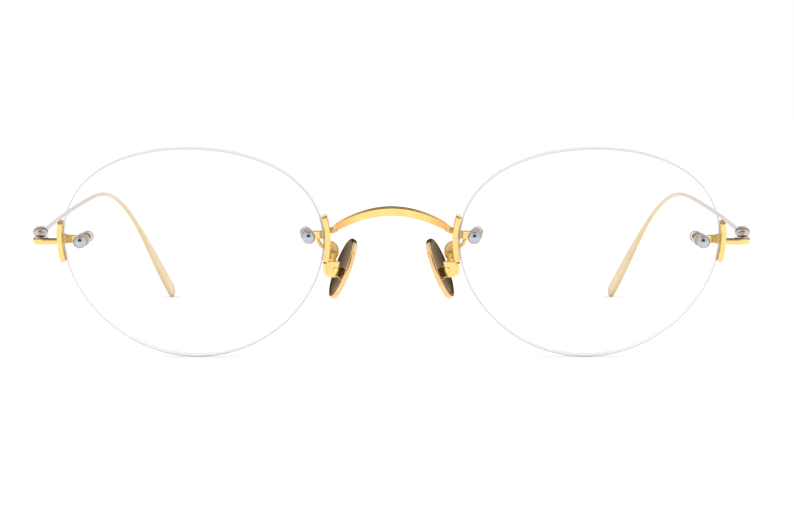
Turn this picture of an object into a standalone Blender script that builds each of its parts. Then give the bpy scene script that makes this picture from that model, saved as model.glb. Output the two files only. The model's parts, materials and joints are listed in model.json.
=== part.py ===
"""Rimless eyeglasses: two drilled lenses held by screwed metal straps, a bridge, rocking metal nose pads
and two folding wire temples.

Frame: +X is the wearer's left, +Y points from the lenses back to the temple tips and +Z is up. The glasses
stand open on their lens bottoms and temple tips at z = 0. The left half is modelled, then mirrored in x.
"""

import math

import bmesh
import bpy
from mathutils import Euler, Matrix, Vector

MM = 0.001

# Lenses
LENS_WIDTH = 47.6 * MM
LENS_HEIGHT = 38.95 * MM
LENS_GAP = 24.5 * MM
LENS_THICKNESS = 1.8 * MM
LENS_FRONT_RADIUS = 132.0 * MM
LENS_BACK_RADIUS = 126.0 * MM
LENS_SIDE_RISE = 2.51 * MM
LENS_SKEW = 0.39 * MM
LENS_ROUNDNESS = 2.02
LENS_TILT = 9.5
LENS_WRAP = 1.0
FRONT_Y = -72.39 * MM
LENS_CENTRE_Z = 18.94 * MM
LENS_HOLE_RADIUS = 0.85 * MM
OUTLINE_STEPS = 52
BLANK_RADIUS = 28.0 * MM
BLANK_RINGS = 4
BLANK_SIDES = 28

# Straps round the lens edge, each with a tongue behind the lens. Depths are along the lens's own axis.
STRAP_OUTER_ANGLES = (-12.8, 7.6)
STRAP_INNER_ANGLES = (166.8, 190.7)
STRAP_STEPS = 8
STRAP_FIT = 0.06 * MM
STRAP_THICKNESS = 1.18 * MM
STRAP_FRONT = -1.9 * MM
STRAP_BACK = -5.05 * MM
EYELET_RADIUS = 1.25 * MM
TONGUE_HALF_HEIGHT = 0.72 * MM
TONGUE_FRONT = -2.28 * MM
TONGUE_BACK = -2.98 * MM

# The screwed stack through each lens, placed in the lens's own x and y
SCREW_OUTER = (20.5 * MM, 2.34 * MM)
SCREW_INNER = (-20.8 * MM, 3.19 * MM)
SEAT_GAP = 0.03 * MM
BUSH_RADIUS = 0.80 * MM
BUSH_BORE = 0.64 * MM
WASHER_RADIUS = 1.2 * MM
WASHER_FRONT = -1.96 * MM
SCREW_RADIUS = 0.58 * MM
SCREW_END = -5.15 * MM
DOME_RADIUS = 1.18 * MM
DOME_HEIGHT = 0.78 * MM
DOME_STEPS = 4
NUT_RADIUS = 1.0 * MM
NUT_BACK = -4.5 * MM
NUT_EASE = 0.2 * MM
CAP_RADIUS = 1.08 * MM
CAP_BACK = -5.9 * MM
CAP_SHOULDER = 0.45 * MM

# Bridge
BRIDGE_TOP_Z = 27.05 * MM
BRIDGE_FRONT_Y = -0.2 * MM
BRIDGE_ARCH = 0.0296 / MM
BRIDGE_BOW = 0.009 / MM
BRIDGE_HALF_SPAN = 9.8 * MM
BRIDGE_TURN = (
    (0.25 * MM, 0.45 * MM, -0.2 * MM),
    (0.4 * MM, 1.2 * MM, -0.45 * MM),
    (0.75 * MM, 2.0 * MM, -0.7 * MM),
)
BRIDGE_HEIGHT = 1.7 * MM
BRIDGE_DEPTH = 1.1 * MM
BRIDGE_TAPER = 0.16
BRIDGE_SQUARENESS = 4

# Nose pads. A pad's face lies PAD_INSET from its pivot and its oval sits PAD_RISE above it.
PAD_PIVOT = Vector((10.57 * MM, 8.0 * MM, 15.8 * MM))
PAD_SPLAY = 18.0
PAD_LEAN = 21.0
PAD_LENGTH = 11.75 * MM
PAD_WIDTH = 7.6 * MM
PAD_THICKNESS = 1.1 * MM
PAD_INSET = 1.0 * MM
PAD_RISE = 0.8 * MM
PAD_EDGE = 0.25 * MM
PAD_STEPS = 32
LUG_RADIUS = 0.8 * MM
LUG_HALF_THICKNESS = 0.35 * MM
LUG_HALF_NECK = 0.55 * MM
PAD_SCREW_RADIUS = 0.34 * MM
PAD_SCREW_HEAD = 0.62 * MM
PAD_SCREW_FOOT = 0.12 * MM
PAD_BORE = 0.40 * MM
BOX_TOP = 1.65 * MM
BOX_FOOT = -1.35 * MM
BOX_OUT = 1.95 * MM
BOX_NOSE_TOP = -0.95 * MM
BOX_NOSE_FOOT = -0.2 * MM
BOX_CORNER = 1.2 * MM
BOX_HALF_WIDTH = 1.1 * MM
BOX_EDGE = 0.2 * MM
SLOT_LOW = Vector((-2.0 * MM, -0.45 * MM, -2.0 * MM))
SLOT_HIGH = Vector((1.05 * MM, 0.45 * MM, 1.0 * MM))
ARM_RADIUS = 0.95 * MM
ARM_ROOT_RADIUS = 0.36 * MM
ARM_GROWTH_START = 0.33
ARM_GROWTH_SPAN = 0.22
ARM_ROOT = (-1.7 * MM, -0.2 * MM, -3.04 * MM)
ARM_START = 1.2 * MM
ARM_ROUTE = (
    (13.1 * MM, 7.4 * MM, 20.55 * MM),
    (12.4 * MM, 8.5 * MM, 20.05 * MM),
    (11.6 * MM, 9.4 * MM, 20.25 * MM),
    (10.8 * MM, 9.7 * MM, 19.7 * MM),
    (10.75 * MM, 9.1 * MM, 18.7 * MM),
)
ARM_FOOT_X = 0.65 * MM
ARM_FOOT_GAP = 0.17 * MM
ARM_FOOT_LEAD = 0.6 * MM

# Endpieces and hinges. The bar's front stretch lies BAR_RISE above its eyelet.
HINGE_X = 64.75 * MM
HINGE_Y = 8.8 * MM
KNUCKLE_RADIUS = 1.41 * MM
KNUCKLE_LOW = 21.8 * MM
KNUCKLE_HIGH = 23.6 * MM
HINGE_WASHER = 0.14 * MM
HINGE_GAP = 0.03 * MM
BAR_HEIGHT = 1.02 * MM
BAR_WIDTH = 1.3 * MM
BAR_RISE = 0.26 * MM
BAR_TURN_RADIUS = 1.5 * MM
BAR_SQUARENESS = 5
EYELET_TOP = KNUCKLE_LOW - HINGE_WASHER - 2 * HINGE_GAP
HINGE_SCREW_RADIUS = 0.6 * MM
HINGE_SCREW_HEAD = 0.82 * MM
HINGE_SCREW_FOOT = 0.15 * MM
HINGE_BORE = 0.65 * MM
HEAD_HEIGHT = 0.2 * MM

# Temples
TEMPLE_LENGTH = 145.0 * MM
TEMPLE_START = 1.0 * MM
TEMPLE_Z = 22.32 * MM
TEMPLE_RISE = 3.85
TEMPLE_BEND = 37.69
BEND_START = 58.3 * MM
BEND_LENGTH = 73.0 * MM
BOW_OUT = -0.0145
BOW_IN = 0.132 / (100.0 * MM)
BOW_END = 100.0 * MM
TIP_START = 95.0 * MM
TIP_IN = 0.078 / (50.0 * MM)
WIRE_RADIUS = 0.52 * MM
PADDLE_START = 104.0 * MM
PADDLE_GROWTH = 34.0 * MM
PADDLE_HALF_HEIGHT = 1.6 * MM
PADDLE_HALF_WIDTH = 0.6 * MM
TIP_ROUND = 2.5 * MM
STRAIGHT_STEPS = 12
BEND_STEPS = 28

SECTION_SIDES = 12
KNUCKLE_SIDES = 20
INTEGRATION_STEPS = 8
MERGE = 0.001 * MM


def smooth(t):
    """Goes from 0 to 1 with no kink at either end."""
    t = min(max(t, 0.0), 1.0)
    return t * t * (3 - 2 * t)


def turn(x=0.0, y=0.0, z=0.0):
    """A rotation by degrees about x, then y, then z."""
    return Euler((math.radians(x), math.radians(y), math.radians(z))).to_matrix().to_4x4()


# Every lens piece is placed in a frame with x towards the temple, y up the lens and z forwards.
LENS_FRAME = (
    Matrix.Translation(((LENS_WIDTH + LENS_GAP) / 2, FRONT_Y, LENS_CENTRE_Z))
    @ turn(x=90 + LENS_TILT, z=LENS_WRAP)
)
PAD_MOUNT_FRAME = Matrix.Translation(PAD_PIVOT + Vector((0, FRONT_Y, 0))) @ turn(z=-PAD_SPLAY)
PAD_FRAME = PAD_MOUNT_FRAME @ turn(y=-PAD_LEAN)
HINGE_FRAME = Matrix.Translation((HINGE_X, FRONT_Y + HINGE_Y, 0))


def front_sag(radius):
    """How far the lens's front surface lies behind its middle at a radius."""
    return LENS_FRONT_RADIUS - math.sqrt(LENS_FRONT_RADIUS**2 - radius**2)


def stack_frame(place):
    """The frame of a lens screw: its origin on the lens's front surface, z out along the normal."""
    x, y = place
    height = -front_sag(math.hypot(x, y))
    normal = Vector((x, y, height + LENS_FRONT_RADIUS)).normalized()
    up = normal.cross(Vector((1, 0, 0))).normalized()
    turned_to_normal = Matrix((up.cross(normal), up, normal)).transposed().to_4x4()
    return LENS_FRAME @ Matrix.Translation((x, y, height)) @ turned_to_normal


def outline_point(angle):
    """A point of the lens outline: a superellipse whose sides are pulled up."""
    c, s = math.cos(angle), math.sin(angle)
    side = math.copysign(abs(c) ** (2 / LENS_ROUNDNESS), c)
    rise = math.copysign(abs(s) ** (2 / LENS_ROUNDNESS), s)
    return Vector((
        LENS_WIDTH / 2 * side,
        LENS_HEIGHT / 2 * rise + LENS_SIDE_RISE * side**2 + LENS_SKEW * side,
        0,
    ))


def edge_point(degrees, outset):
    """A point moved out from the lens outline along its normal."""
    angle = math.radians(degrees)
    along = outline_point(angle + 0.02) - outline_point(angle - 0.02)
    return outline_point(angle) + Vector((along.y, -along.x, 0)).normalized() * outset


def link(obj, material, frame, hidden=False):
    """Places an object and files it with the parts, or with the hidden cutters."""
    for old in obj.users_collection:
        old.objects.unlink(obj)
    if hidden:
        CUTTERS.objects.link(obj)
        obj.hide_render = True
        obj.display_type = "WIRE"
    else:
        PARTS.objects.link(obj)
        obj.data.materials.append(material)
    obj.matrix_world = frame
    return obj


def mesh_object(name, build):
    """An object whose mesh is made by a bmesh function."""
    mesh = bpy.data.meshes.new(name)
    bm = bmesh.new()
    build(bm)
    bmesh.ops.recalc_face_normals(bm, faces=bm.faces)
    bm.to_mesh(mesh)
    bm.free()
    obj = bpy.data.objects.new(name, mesh)
    bpy.context.scene.collection.objects.link(obj)
    return obj


def to_mesh(obj):
    """Turns a curve into a closed mesh object with the same name."""
    bpy.context.view_layer.update()
    name = obj.name
    evaluated = obj.evaluated_get(bpy.context.evaluated_depsgraph_get())
    mesh = bpy.data.meshes.new_from_object(evaluated)
    bm = bmesh.new()
    bm.from_mesh(mesh)
    bmesh.ops.remove_doubles(bm, verts=bm.verts, dist=MERGE)
    bmesh.ops.recalc_face_normals(bm, faces=bm.faces)
    bm.to_mesh(mesh)
    bm.free()
    bpy.data.objects.remove(obj)
    solid = bpy.data.objects.new(name, mesh)
    bpy.context.scene.collection.objects.link(solid)
    return solid


def plate(name, outline, low, high):
    """A flat outline in x and y, extruded from low to high along z."""
    curve = bpy.data.curves.new(name, "CURVE")
    curve.dimensions = "2D"
    curve.fill_mode = "BOTH"
    curve.extrude = (high - low) / 2
    spline = curve.splines.new("POLY")
    spline.points.add(len(outline) - 1)
    for point, place in zip(spline.points, outline):
        point.co = (place[0], place[1], 0, 1)
    spline.use_cyclic_u = True
    obj = bpy.data.objects.new(name, curve)
    bpy.context.scene.collection.objects.link(obj)
    solid = to_mesh(obj)
    solid.data.transform(Matrix.Translation((0, 0, (low + high) / 2)))
    return solid


def turned(name, profile, sides):
    """A solid turned about z from (radius, height) points that run down its outer side."""
    def build(bm):
        points = [bm.verts.new((radius, 0, height)) for radius, height in profile]
        for a, b in zip(points, [*points[1:], points[0]]):
            if a.co.x > 0 or b.co.x > 0:
                bm.edges.new((a, b))

    obj = mesh_object(name, build)
    screw = obj.modifiers.new("turn", "SCREW")
    screw.steps = screw.render_steps = sides
    screw.use_merge_vertices = True
    screw.merge_threshold = MERGE
    return obj


def cylinder(name, radius, low, high, sides=16):
    """A plain round bar along z."""
    return turned(name, [(0, high), (radius, high), (radius, low), (0, low)], sides)


def loft(name, rings):
    """A closed solid through rings of points that all have the same count."""
    def build(bm):
        loops = [[bm.verts.new(point) for point in ring] for ring in rings]
        for low, high in zip(loops, loops[1:]):
            for i in range(len(low)):
                j = (i + 1) % len(low)
                bm.faces.new((low[i], low[j], high[j], high[i]))
        bm.faces.new(loops[0])
        bm.faces.new(loops[-1])

    return mesh_object(name, build)


def swept_rings(path, section, sides=SECTION_SIDES):
    """Rings across a path: section gives the half width, half height and roundness at each point."""
    rings = []
    for i, centre in enumerate(path):
        ahead = (path[min(i + 1, len(path) - 1)] - path[max(i - 1, 0)]).normalized()
        across = ahead.cross(Vector((0, 0, 1))).normalized()
        lift = across.cross(ahead)
        half_width, half_height, roundness = section(i)
        ring = []
        for k in range(sides):
            angle = math.tau * (k + 0.5) / sides
            c, s = math.cos(angle), math.sin(angle)
            ring.append(
                centre
                + across * half_width * math.copysign(abs(c) ** (2 / roundness), c)
                + lift * half_height * math.copysign(abs(s) ** (2 / roundness), s)
            )
        rings.append(ring)
    return rings


def smooth_path(points, steps):
    """A smooth curve through points, with a number of steps between each pair."""
    places = [points[0] * 2 - points[1], *points, points[-1] * 2 - points[-2]]
    path = []
    for before, start, end, after in zip(places, places[1:], places[2:], places[3:]):
        for k in range(steps):
            t = k / steps
            path.append(
                (
                    start * 2
                    + (end - before) * t
                    + (before * 2 - start * 5 + end * 4 - after) * t**2
                    + (start * 3 - before - end * 3 + after) * t**3
                )
                / 2
            )
    return [*path, points[-1]]


def wire(name, path, radii):
    """A round wire along a path, with a radius for each of its points."""
    curve = bpy.data.curves.new(name, "CURVE")
    curve.dimensions = "3D"
    curve.bevel_depth = max(radii)
    curve.bevel_resolution = 2
    curve.use_fill_caps = True
    spline = curve.splines.new("POLY")
    spline.points.add(len(path) - 1)
    for point, place, radius in zip(spline.points, path, radii):
        point.co = (*place, 1)
        point.radius = radius / curve.bevel_depth
    obj = bpy.data.objects.new(name, curve)
    bpy.context.scene.collection.objects.link(obj)
    return obj


def boolean(obj, other, operation):
    """Adds an exact Boolean with a hidden object."""
    modifier = obj.modifiers.new(operation.lower(), "BOOLEAN")
    modifier.operation = operation
    modifier.solver = "EXACT"
    modifier.object = other


def lens(name, material):
    """A turned meniscus blank, cut to the outline and drilled for its two screws."""
    def surface(radius_of_curve, offset, k):
        radius = BLANK_RADIUS * k / BLANK_RINGS
        return radius, offset - radius_of_curve + math.sqrt(radius_of_curve**2 - radius**2)

    front = [surface(LENS_FRONT_RADIUS, 0, k) for k in range(BLANK_RINGS + 1)]
    back = [surface(LENS_BACK_RADIUS, -LENS_THICKNESS, k) for k in range(BLANK_RINGS, -1, -1)]
    obj = link(turned(name, front + back, BLANK_SIDES), material, LENS_FRAME)
    outline = [outline_point(math.tau * (k + 0.5) / OUTLINE_STEPS) for k in range(OUTLINE_STEPS)]
    edge = link(plate(name + "_outline", outline, -12 * MM, 3 * MM), None, LENS_FRAME, hidden=True)
    boolean(obj, edge, "INTERSECT")
    for k, place in enumerate((SCREW_OUTER, SCREW_INNER)):
        drill = cylinder(f"{name}_drill_{k}", LENS_HOLE_RADIUS, -4 * MM, 2 * MM)
        boolean(obj, link(drill, None, stack_frame(place), hidden=True), "DIFFERENCE")


def strap(name, place, angles, material):
    """A band round the lens edge with a tongue behind the lens that ends in an eyelet for the screw."""
    turns = [angles[0] + (angles[1] - angles[0]) * k / STRAP_STEPS for k in range(STRAP_STEPS + 1)]
    inner = [edge_point(a, STRAP_FIT) for a in turns]
    outer = [edge_point(a, STRAP_THICKNESS) for a in reversed(turns)]
    obj = link(plate(name, inner + outer, STRAP_BACK, STRAP_FRONT), material, LENS_FRAME)
    side = math.copysign(1, place[0])
    reach = LENS_WIDTH / 2 + STRAP_THICKNESS / 2 - abs(place[0])
    corner = math.degrees(math.asin(TONGUE_HALF_HEIGHT / EYELET_RADIUS))
    outline = [(side * reach, -TONGUE_HALF_HEIGHT), (side * reach, TONGUE_HALF_HEIGHT)]
    for k in range(17):
        angle = math.radians(corner + (360 - 2 * corner) * k / 16)
        outline.append((side * EYELET_RADIUS * math.cos(angle), EYELET_RADIUS * math.sin(angle)))
    frame = stack_frame(place)
    tongue = plate(name + "_tongue", outline, TONGUE_BACK, TONGUE_FRONT)
    boolean(obj, link(tongue, None, frame, hidden=True), "UNION")
    bore = cylinder(name + "_bore", BUSH_BORE, TONGUE_BACK - MM, TONGUE_FRONT + MM)
    boolean(obj, link(bore, None, frame, hidden=True), "DIFFERENCE")


def screw_stack(end, place, steel, clear):
    """What holds one strap: a domed screw, a clear bush, a round nut and a clear end cap."""
    frame = stack_frame(place)
    ball = (DOME_RADIUS**2 + DOME_HEIGHT**2) / (2 * DOME_HEIGHT)
    dome = []
    for k in range(DOME_STEPS + 1):
        radius = DOME_RADIUS * math.sin(math.pi / 2 * k / DOME_STEPS)
        dome.append((radius, SEAT_GAP + DOME_HEIGHT - ball + math.sqrt(ball**2 - radius**2)))
    shank = [(SCREW_RADIUS, SEAT_GAP), (SCREW_RADIUS, SCREW_END), (0, SCREW_END)]
    profile = [*dome, (DOME_RADIUS, SEAT_GAP), *shank]
    link(turned(f"lens_screw_{end}", profile, 16), steel, frame)

    washer_back = TONGUE_FRONT + SEAT_GAP
    profile = [
        (BUSH_RADIUS, -SEAT_GAP), (BUSH_RADIUS, WASHER_FRONT), (WASHER_RADIUS, WASHER_FRONT),
        (WASHER_RADIUS, washer_back), (BUSH_BORE, washer_back), (BUSH_BORE, -SEAT_GAP),
    ]
    link(turned(f"lens_bush_{end}", profile, 16), clear, frame)

    front = TONGUE_BACK - SEAT_GAP
    profile = [
        (NUT_RADIUS - NUT_EASE, front), (NUT_RADIUS, front - NUT_EASE), (NUT_RADIUS, NUT_BACK + NUT_EASE),
        (NUT_RADIUS - NUT_EASE, NUT_BACK), (BUSH_BORE, NUT_BACK), (BUSH_BORE, front),
    ]
    link(turned(f"lens_nut_{end}", profile, 16), steel, frame)

    front = NUT_BACK - SEAT_GAP
    floor = SCREW_END - 0.1 * MM
    profile = [
        (CAP_RADIUS, front), (CAP_RADIUS, CAP_BACK + CAP_SHOULDER),
        (CAP_RADIUS * 0.75, CAP_BACK + CAP_SHOULDER / 4),
        (0, CAP_BACK), (0, floor), (BUSH_BORE, floor), (BUSH_BORE, front),
    ]
    link(turned(f"end_cap_{end}", profile, 16), clear, frame)


def bridge(material):
    """An arched bar that bows forwards and turns back at both ends to the inner straps."""
    def at(x):
        return Vector((x, FRONT_Y + BRIDGE_FRONT_Y + BRIDGE_BOW * x**2, BRIDGE_TOP_Z - BRIDGE_ARCH * x**2))

    half = [at(BRIDGE_HALF_SPAN * k / 7) for k in range(8)]
    end = half[-1]
    half += smooth_path([end + Vector(step) for step in BRIDGE_TURN], 2)
    path = [Vector((-p.x, p.y, p.z)) for p in reversed(half[1:])] + half

    def section(i):
        outwards = min(abs(path[i].x) / BRIDGE_HALF_SPAN, 1)
        shrink = 1 - BRIDGE_TAPER * outwards**2
        return BRIDGE_DEPTH / 2 * shrink, BRIDGE_HEIGHT / 2 * shrink, BRIDGE_SQUARENESS

    return link(loft("bridge", swept_rings(path, section)), material, Matrix())


def head_profile(radius, seat):
    """The outer points of a low rounded screw head, from its top down to its seat."""
    return [
        (0, seat + HEAD_HEIGHT), (radius * 0.75, seat + HEAD_HEIGHT * 0.9),
        (radius, seat + HEAD_HEIGHT * 0.4), (radius, seat),
    ]


def endpiece(name, material):
    """A bar from the outer strap that turns back, sinks a little and ends in the lower hinge eyelet."""
    strap_middle = (STRAP_FRONT + STRAP_BACK) / 2
    start = LENS_FRAME @ Vector((LENS_WIDTH / 2 + STRAP_THICKNESS + 0.08 * MM, SCREW_OUTER[1], strap_middle))
    low_z = EYELET_TOP - BAR_HEIGHT / 2
    start.z = low_z + BAR_RISE
    corner = Vector((HINGE_X + 0.1 * MM - BAR_TURN_RADIUS, start.y + BAR_TURN_RADIUS, start.z))
    path = [start, start + Vector((0.7 * MM, 0, 0))]
    for k in range(7):
        angle = math.radians(-90 + 15 * k)
        path.append(corner + BAR_TURN_RADIUS * Vector((math.cos(angle), math.sin(angle), 0)))
    path.append(Vector((HINGE_X, FRONT_Y + HINGE_Y - KNUCKLE_RADIUS * 0.6, low_z)))

    def section(i):
        return BAR_WIDTH / 2, BAR_HEIGHT / 2, BAR_SQUARENESS

    bar = link(loft(name, swept_rings(path, section)), material, Matrix())
    eyelet = cylinder(name + "_eyelet", KNUCKLE_RADIUS, EYELET_TOP - BAR_HEIGHT, EYELET_TOP, KNUCKLE_SIDES)
    boolean(bar, link(eyelet, None, HINGE_FRAME, hidden=True), "UNION")
    bore = cylinder(name + "_bore", HINGE_BORE, EYELET_TOP - 3 * MM, EYELET_TOP + MM)
    boolean(bar, link(bore, None, HINGE_FRAME, hidden=True), "DIFFERENCE")


def hinge_fasteners(screw_material, washer_material):
    """The slip washer between the two knuckles, and the screw that is the hinge's pin."""
    low = EYELET_TOP + HINGE_GAP
    profile = [
        (HINGE_BORE, low + HINGE_WASHER), (KNUCKLE_RADIUS, low + HINGE_WASHER),
        (KNUCKLE_RADIUS, low), (HINGE_BORE, low),
    ]
    link(turned("hinge_washer_left", profile, KNUCKLE_SIDES), washer_material, HINGE_FRAME)

    seat = KNUCKLE_HIGH + HINGE_GAP
    foot = EYELET_TOP - BAR_HEIGHT - HINGE_SCREW_FOOT
    shank = [(HINGE_SCREW_RADIUS, seat), (HINGE_SCREW_RADIUS, foot), (0, foot)]
    profile = [*head_profile(HINGE_SCREW_HEAD, seat), *shank]
    link(turned("hinge_screw_left", profile, 16), screw_material, HINGE_FRAME)


def temple_stations():
    """Lengths along the temple: wide apart where it is straight, close together at the rounded tip."""
    bend_end = TEMPLE_LENGTH - 3 * MM
    straight = BEND_START - TEMPLE_START
    stations = [TEMPLE_START + straight * k / STRAIGHT_STEPS for k in range(STRAIGHT_STEPS)]
    stations += [BEND_START + (bend_end - BEND_START) * k / BEND_STEPS for k in range(BEND_STEPS + 1)]
    return stations + [TEMPLE_LENGTH - left * MM for left in (2.0, 1.2, 0.6, 0.2, 0.0)]


def temple_path(stations):
    """The temple's centre line: it rises, bends down smoothly and leans in towards its tip."""
    place = Vector((0, 0, TEMPLE_Z))
    path = []
    for start, end in zip([0.0, *stations], stations):
        step = (end - start) / INTEGRATION_STEPS
        for k in range(INTEGRATION_STEPS):
            length = start + (k + 0.5) * step
            pitch = math.radians(TEMPLE_RISE - TEMPLE_BEND * smooth((length - BEND_START) / BEND_LENGTH))
            inwards = BOW_OUT + BOW_IN * min(length, BOW_END) + TIP_IN * max(length - TIP_START, 0)
            flat = math.sqrt(1 - inwards**2)
            place += step * Vector((-inwards, flat * math.cos(pitch), flat * math.sin(pitch)))
        path.append(place.copy())
    return path


def temple(name, material):
    """A wire temple that flattens into a paddle, with the upper hinge knuckle at its front end."""
    lengths = temple_stations()
    path = temple_path(lengths)

    def section(i):
        flattening = smooth((lengths[i] - PADDLE_START) / PADDLE_GROWTH)
        left = TEMPLE_LENGTH - lengths[i]
        rounding = math.sqrt(max(1 - max(1 - left / TIP_ROUND, 0) ** 2, 0.05))
        half_width = (WIRE_RADIUS + (PADDLE_HALF_WIDTH - WIRE_RADIUS) * flattening) * math.sqrt(rounding)
        half_height = (WIRE_RADIUS + (PADDLE_HALF_HEIGHT - WIRE_RADIUS) * flattening) * rounding
        return half_width, half_height, 2 + flattening

    obj = link(loft(name, swept_rings(path, section)), material, HINGE_FRAME)
    knuckle = cylinder(name + "_knuckle", KNUCKLE_RADIUS, KNUCKLE_LOW, KNUCKLE_HIGH, KNUCKLE_SIDES)
    boolean(obj, link(knuckle, None, HINGE_FRAME, hidden=True), "UNION")
    bore = cylinder(name + "_bore", HINGE_BORE, KNUCKLE_LOW - MM, KNUCKLE_HIGH + MM)
    boolean(obj, link(bore, None, HINGE_FRAME, hidden=True), "DIFFERENCE")


def pad_box(material):
    """The clip that a pad rocks in: a block with one round corner, slotted from below and the nose side."""
    outline = [(BOX_OUT, BOX_TOP), (BOX_NOSE_TOP, BOX_TOP), (BOX_NOSE_FOOT, BOX_FOOT)]
    corner = Vector((BOX_OUT - BOX_CORNER, BOX_FOOT + BOX_CORNER))
    for k in range(5):
        angle = math.radians(-90 + 22.5 * k)
        outline.append(corner + BOX_CORNER * Vector((math.cos(angle), math.sin(angle))))
    across = PAD_MOUNT_FRAME @ turn(x=90)
    box = link(plate("pad_box_left", outline, -BOX_HALF_WIDTH, BOX_HALF_WIDTH), material, across)
    bevel = box.modifiers.new("rounding", "BEVEL")
    bevel.width = BOX_EDGE
    bevel.segments = 2

    def slot(bm):
        bmesh.ops.create_cube(bm, size=1)
        bmesh.ops.scale(bm, vec=SLOT_HIGH - SLOT_LOW, verts=bm.verts)
        bmesh.ops.translate(bm, vec=(SLOT_HIGH + SLOT_LOW) / 2, verts=bm.verts)

    boolean(box, link(mesh_object("pad_box_slot", slot), None, PAD_MOUNT_FRAME, hidden=True), "DIFFERENCE")
    bore = cylinder("pad_box_bore", PAD_BORE, -3 * MM, 3 * MM)
    boolean(box, link(bore, None, across, hidden=True), "DIFFERENCE")


def pad_screw(material):
    """The cross screw that a pad rocks on, with its head in front."""
    seat = BOX_HALF_WIDTH + SEAT_GAP
    foot = -BOX_HALF_WIDTH - PAD_SCREW_FOOT
    profile = [
        *head_profile(PAD_SCREW_HEAD, seat), (PAD_SCREW_RADIUS, seat), (PAD_SCREW_RADIUS, foot), (0, foot),
    ]
    link(turned("pad_screw_left", profile, 16), material, PAD_MOUNT_FRAME @ turn(x=90))


def pad_arm(material):
    """The wire from the inner strap's tongue, back and down to the pad's box, thin at its root."""
    root = Vector(ARM_ROOT)
    start = [stack_frame(SCREW_INNER) @ (root - Vector((0, 0, depth))) for depth in (0, ARM_START)]
    middle = [Vector((x, FRONT_Y + y, z)) for x, y, z in ARM_ROUTE]
    foot = PAD_MOUNT_FRAME @ Vector((ARM_FOOT_X, 0, BOX_TOP + ARM_FOOT_GAP))
    path = smooth_path([*start, *middle, foot + Vector((0, 0, ARM_FOOT_LEAD)), foot], 3)
    growth = [smooth((i / len(path) - ARM_GROWTH_START) / ARM_GROWTH_SPAN) for i in range(len(path))]
    radii = [ARM_ROOT_RADIUS + (ARM_RADIUS - ARM_ROOT_RADIUS) * share for share in growth]
    link(wire("pad_arm_left", path, radii), material, Matrix())


def nose_pad(material):
    """An oval metal pad with a lug on its outer side that rocks on the pad screw."""
    outline = []
    for k in range(PAD_STEPS):
        angle = math.tau * k / PAD_STEPS
        outline.append((PAD_WIDTH / 2 * math.cos(angle), PAD_RISE + PAD_LENGTH / 2 * math.sin(angle)))
    flat = Matrix(((0, 0, 1, 0), (1, 0, 0, 0), (0, 1, 0, 0), (0, 0, 0, 1)))
    outer = -PAD_INSET
    pad = link(plate("nose_pad_left", outline, outer - PAD_THICKNESS, outer), material, PAD_FRAME @ flat)
    bevel = pad.modifiers.new("rounding", "BEVEL")
    bevel.width = PAD_EDGE
    bevel.segments = 2
    corner = math.degrees(math.asin(LUG_HALF_NECK / LUG_RADIUS))
    sunk = outer - PAD_THICKNESS / 3
    lug = [(sunk, LUG_HALF_NECK), (sunk, -LUG_HALF_NECK)]
    for k in range(13):
        angle = math.radians(180 + corner + (360 - 2 * corner) * k / 12)
        lug.append((LUG_RADIUS * math.cos(angle), LUG_RADIUS * math.sin(angle)))
    across = PAD_FRAME @ turn(x=90)
    tab = plate("nose_pad_lug", lug, -LUG_HALF_THICKNESS, LUG_HALF_THICKNESS)
    boolean(pad, link(tab, None, across, hidden=True), "UNION")
    bore = cylinder("nose_pad_bore", PAD_BORE, -2 * MM, 2 * MM)
    boolean(pad, link(bore, None, across, hidden=True), "DIFFERENCE")


def mirror_to_right(source):
    """A mirrored copy of a finished left piece."""
    bpy.context.view_layer.update()
    flip = Matrix.Scale(-1, 4, (1, 0, 0))
    evaluated = source.evaluated_get(bpy.context.evaluated_depsgraph_get())
    mesh = bpy.data.meshes.new_from_object(evaluated)
    mesh.transform(flip)
    mesh.flip_normals()
    obj = bpy.data.objects.new(source.name.replace("left", "right"), mesh)
    PARTS.objects.link(obj)
    obj.matrix_world = flip @ source.matrix_world @ flip


def finish_material(name, color, roughness, metallic, alpha=1.0):
    """A Principled material."""
    material = bpy.data.materials.new(name)
    material.use_nodes = True
    shader = material.node_tree.nodes["Principled BSDF"]
    shader.inputs["Base Color"].default_value = (*color, 1)
    shader.inputs["Roughness"].default_value = roughness
    shader.inputs["Metallic"].default_value = metallic
    shader.inputs["Alpha"].default_value = alpha
    return material


def main():
    gold = finish_material("gold", (0.95, 0.70, 0.28), 0.15, 1.0)
    pale_gold = finish_material("pale_gold", (0.90, 0.78, 0.58), 0.18, 1.0)
    steel = finish_material("steel", (0.75, 0.76, 0.78), 0.15, 1.0)
    clear = finish_material("clear_plastic", (0.92, 0.94, 0.95), 0.08, 0.0, 0.35)
    glass = finish_material("lens_clear", (0.96, 0.98, 0.98), 0.02, 0.0, 0.2)

    lens("lens_left", glass)
    strap("outer_strap_left", SCREW_OUTER, STRAP_OUTER_ANGLES, gold)
    strap("inner_strap_left", SCREW_INNER, STRAP_INNER_ANGLES, gold)
    screw_stack("outer_left", SCREW_OUTER, steel, clear)
    screw_stack("inner_left", SCREW_INNER, steel, clear)
    endpiece("endpiece_left", gold)
    hinge_fasteners(steel, clear)
    temple("temple_left", pale_gold)
    pad_box(gold)
    pad_screw(steel)
    pad_arm(gold)
    nose_pad(gold)
    for obj in list(PARTS.objects):
        mirror_to_right(obj)
    bridge(gold)
    for obj in PARTS.objects:
        mesh_data = obj.data
        if isinstance(mesh_data, bpy.types.Mesh):
            mesh_data.shade_smooth()
            mesh_data.set_sharp_from_angle(angle=math.radians(30))


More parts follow.
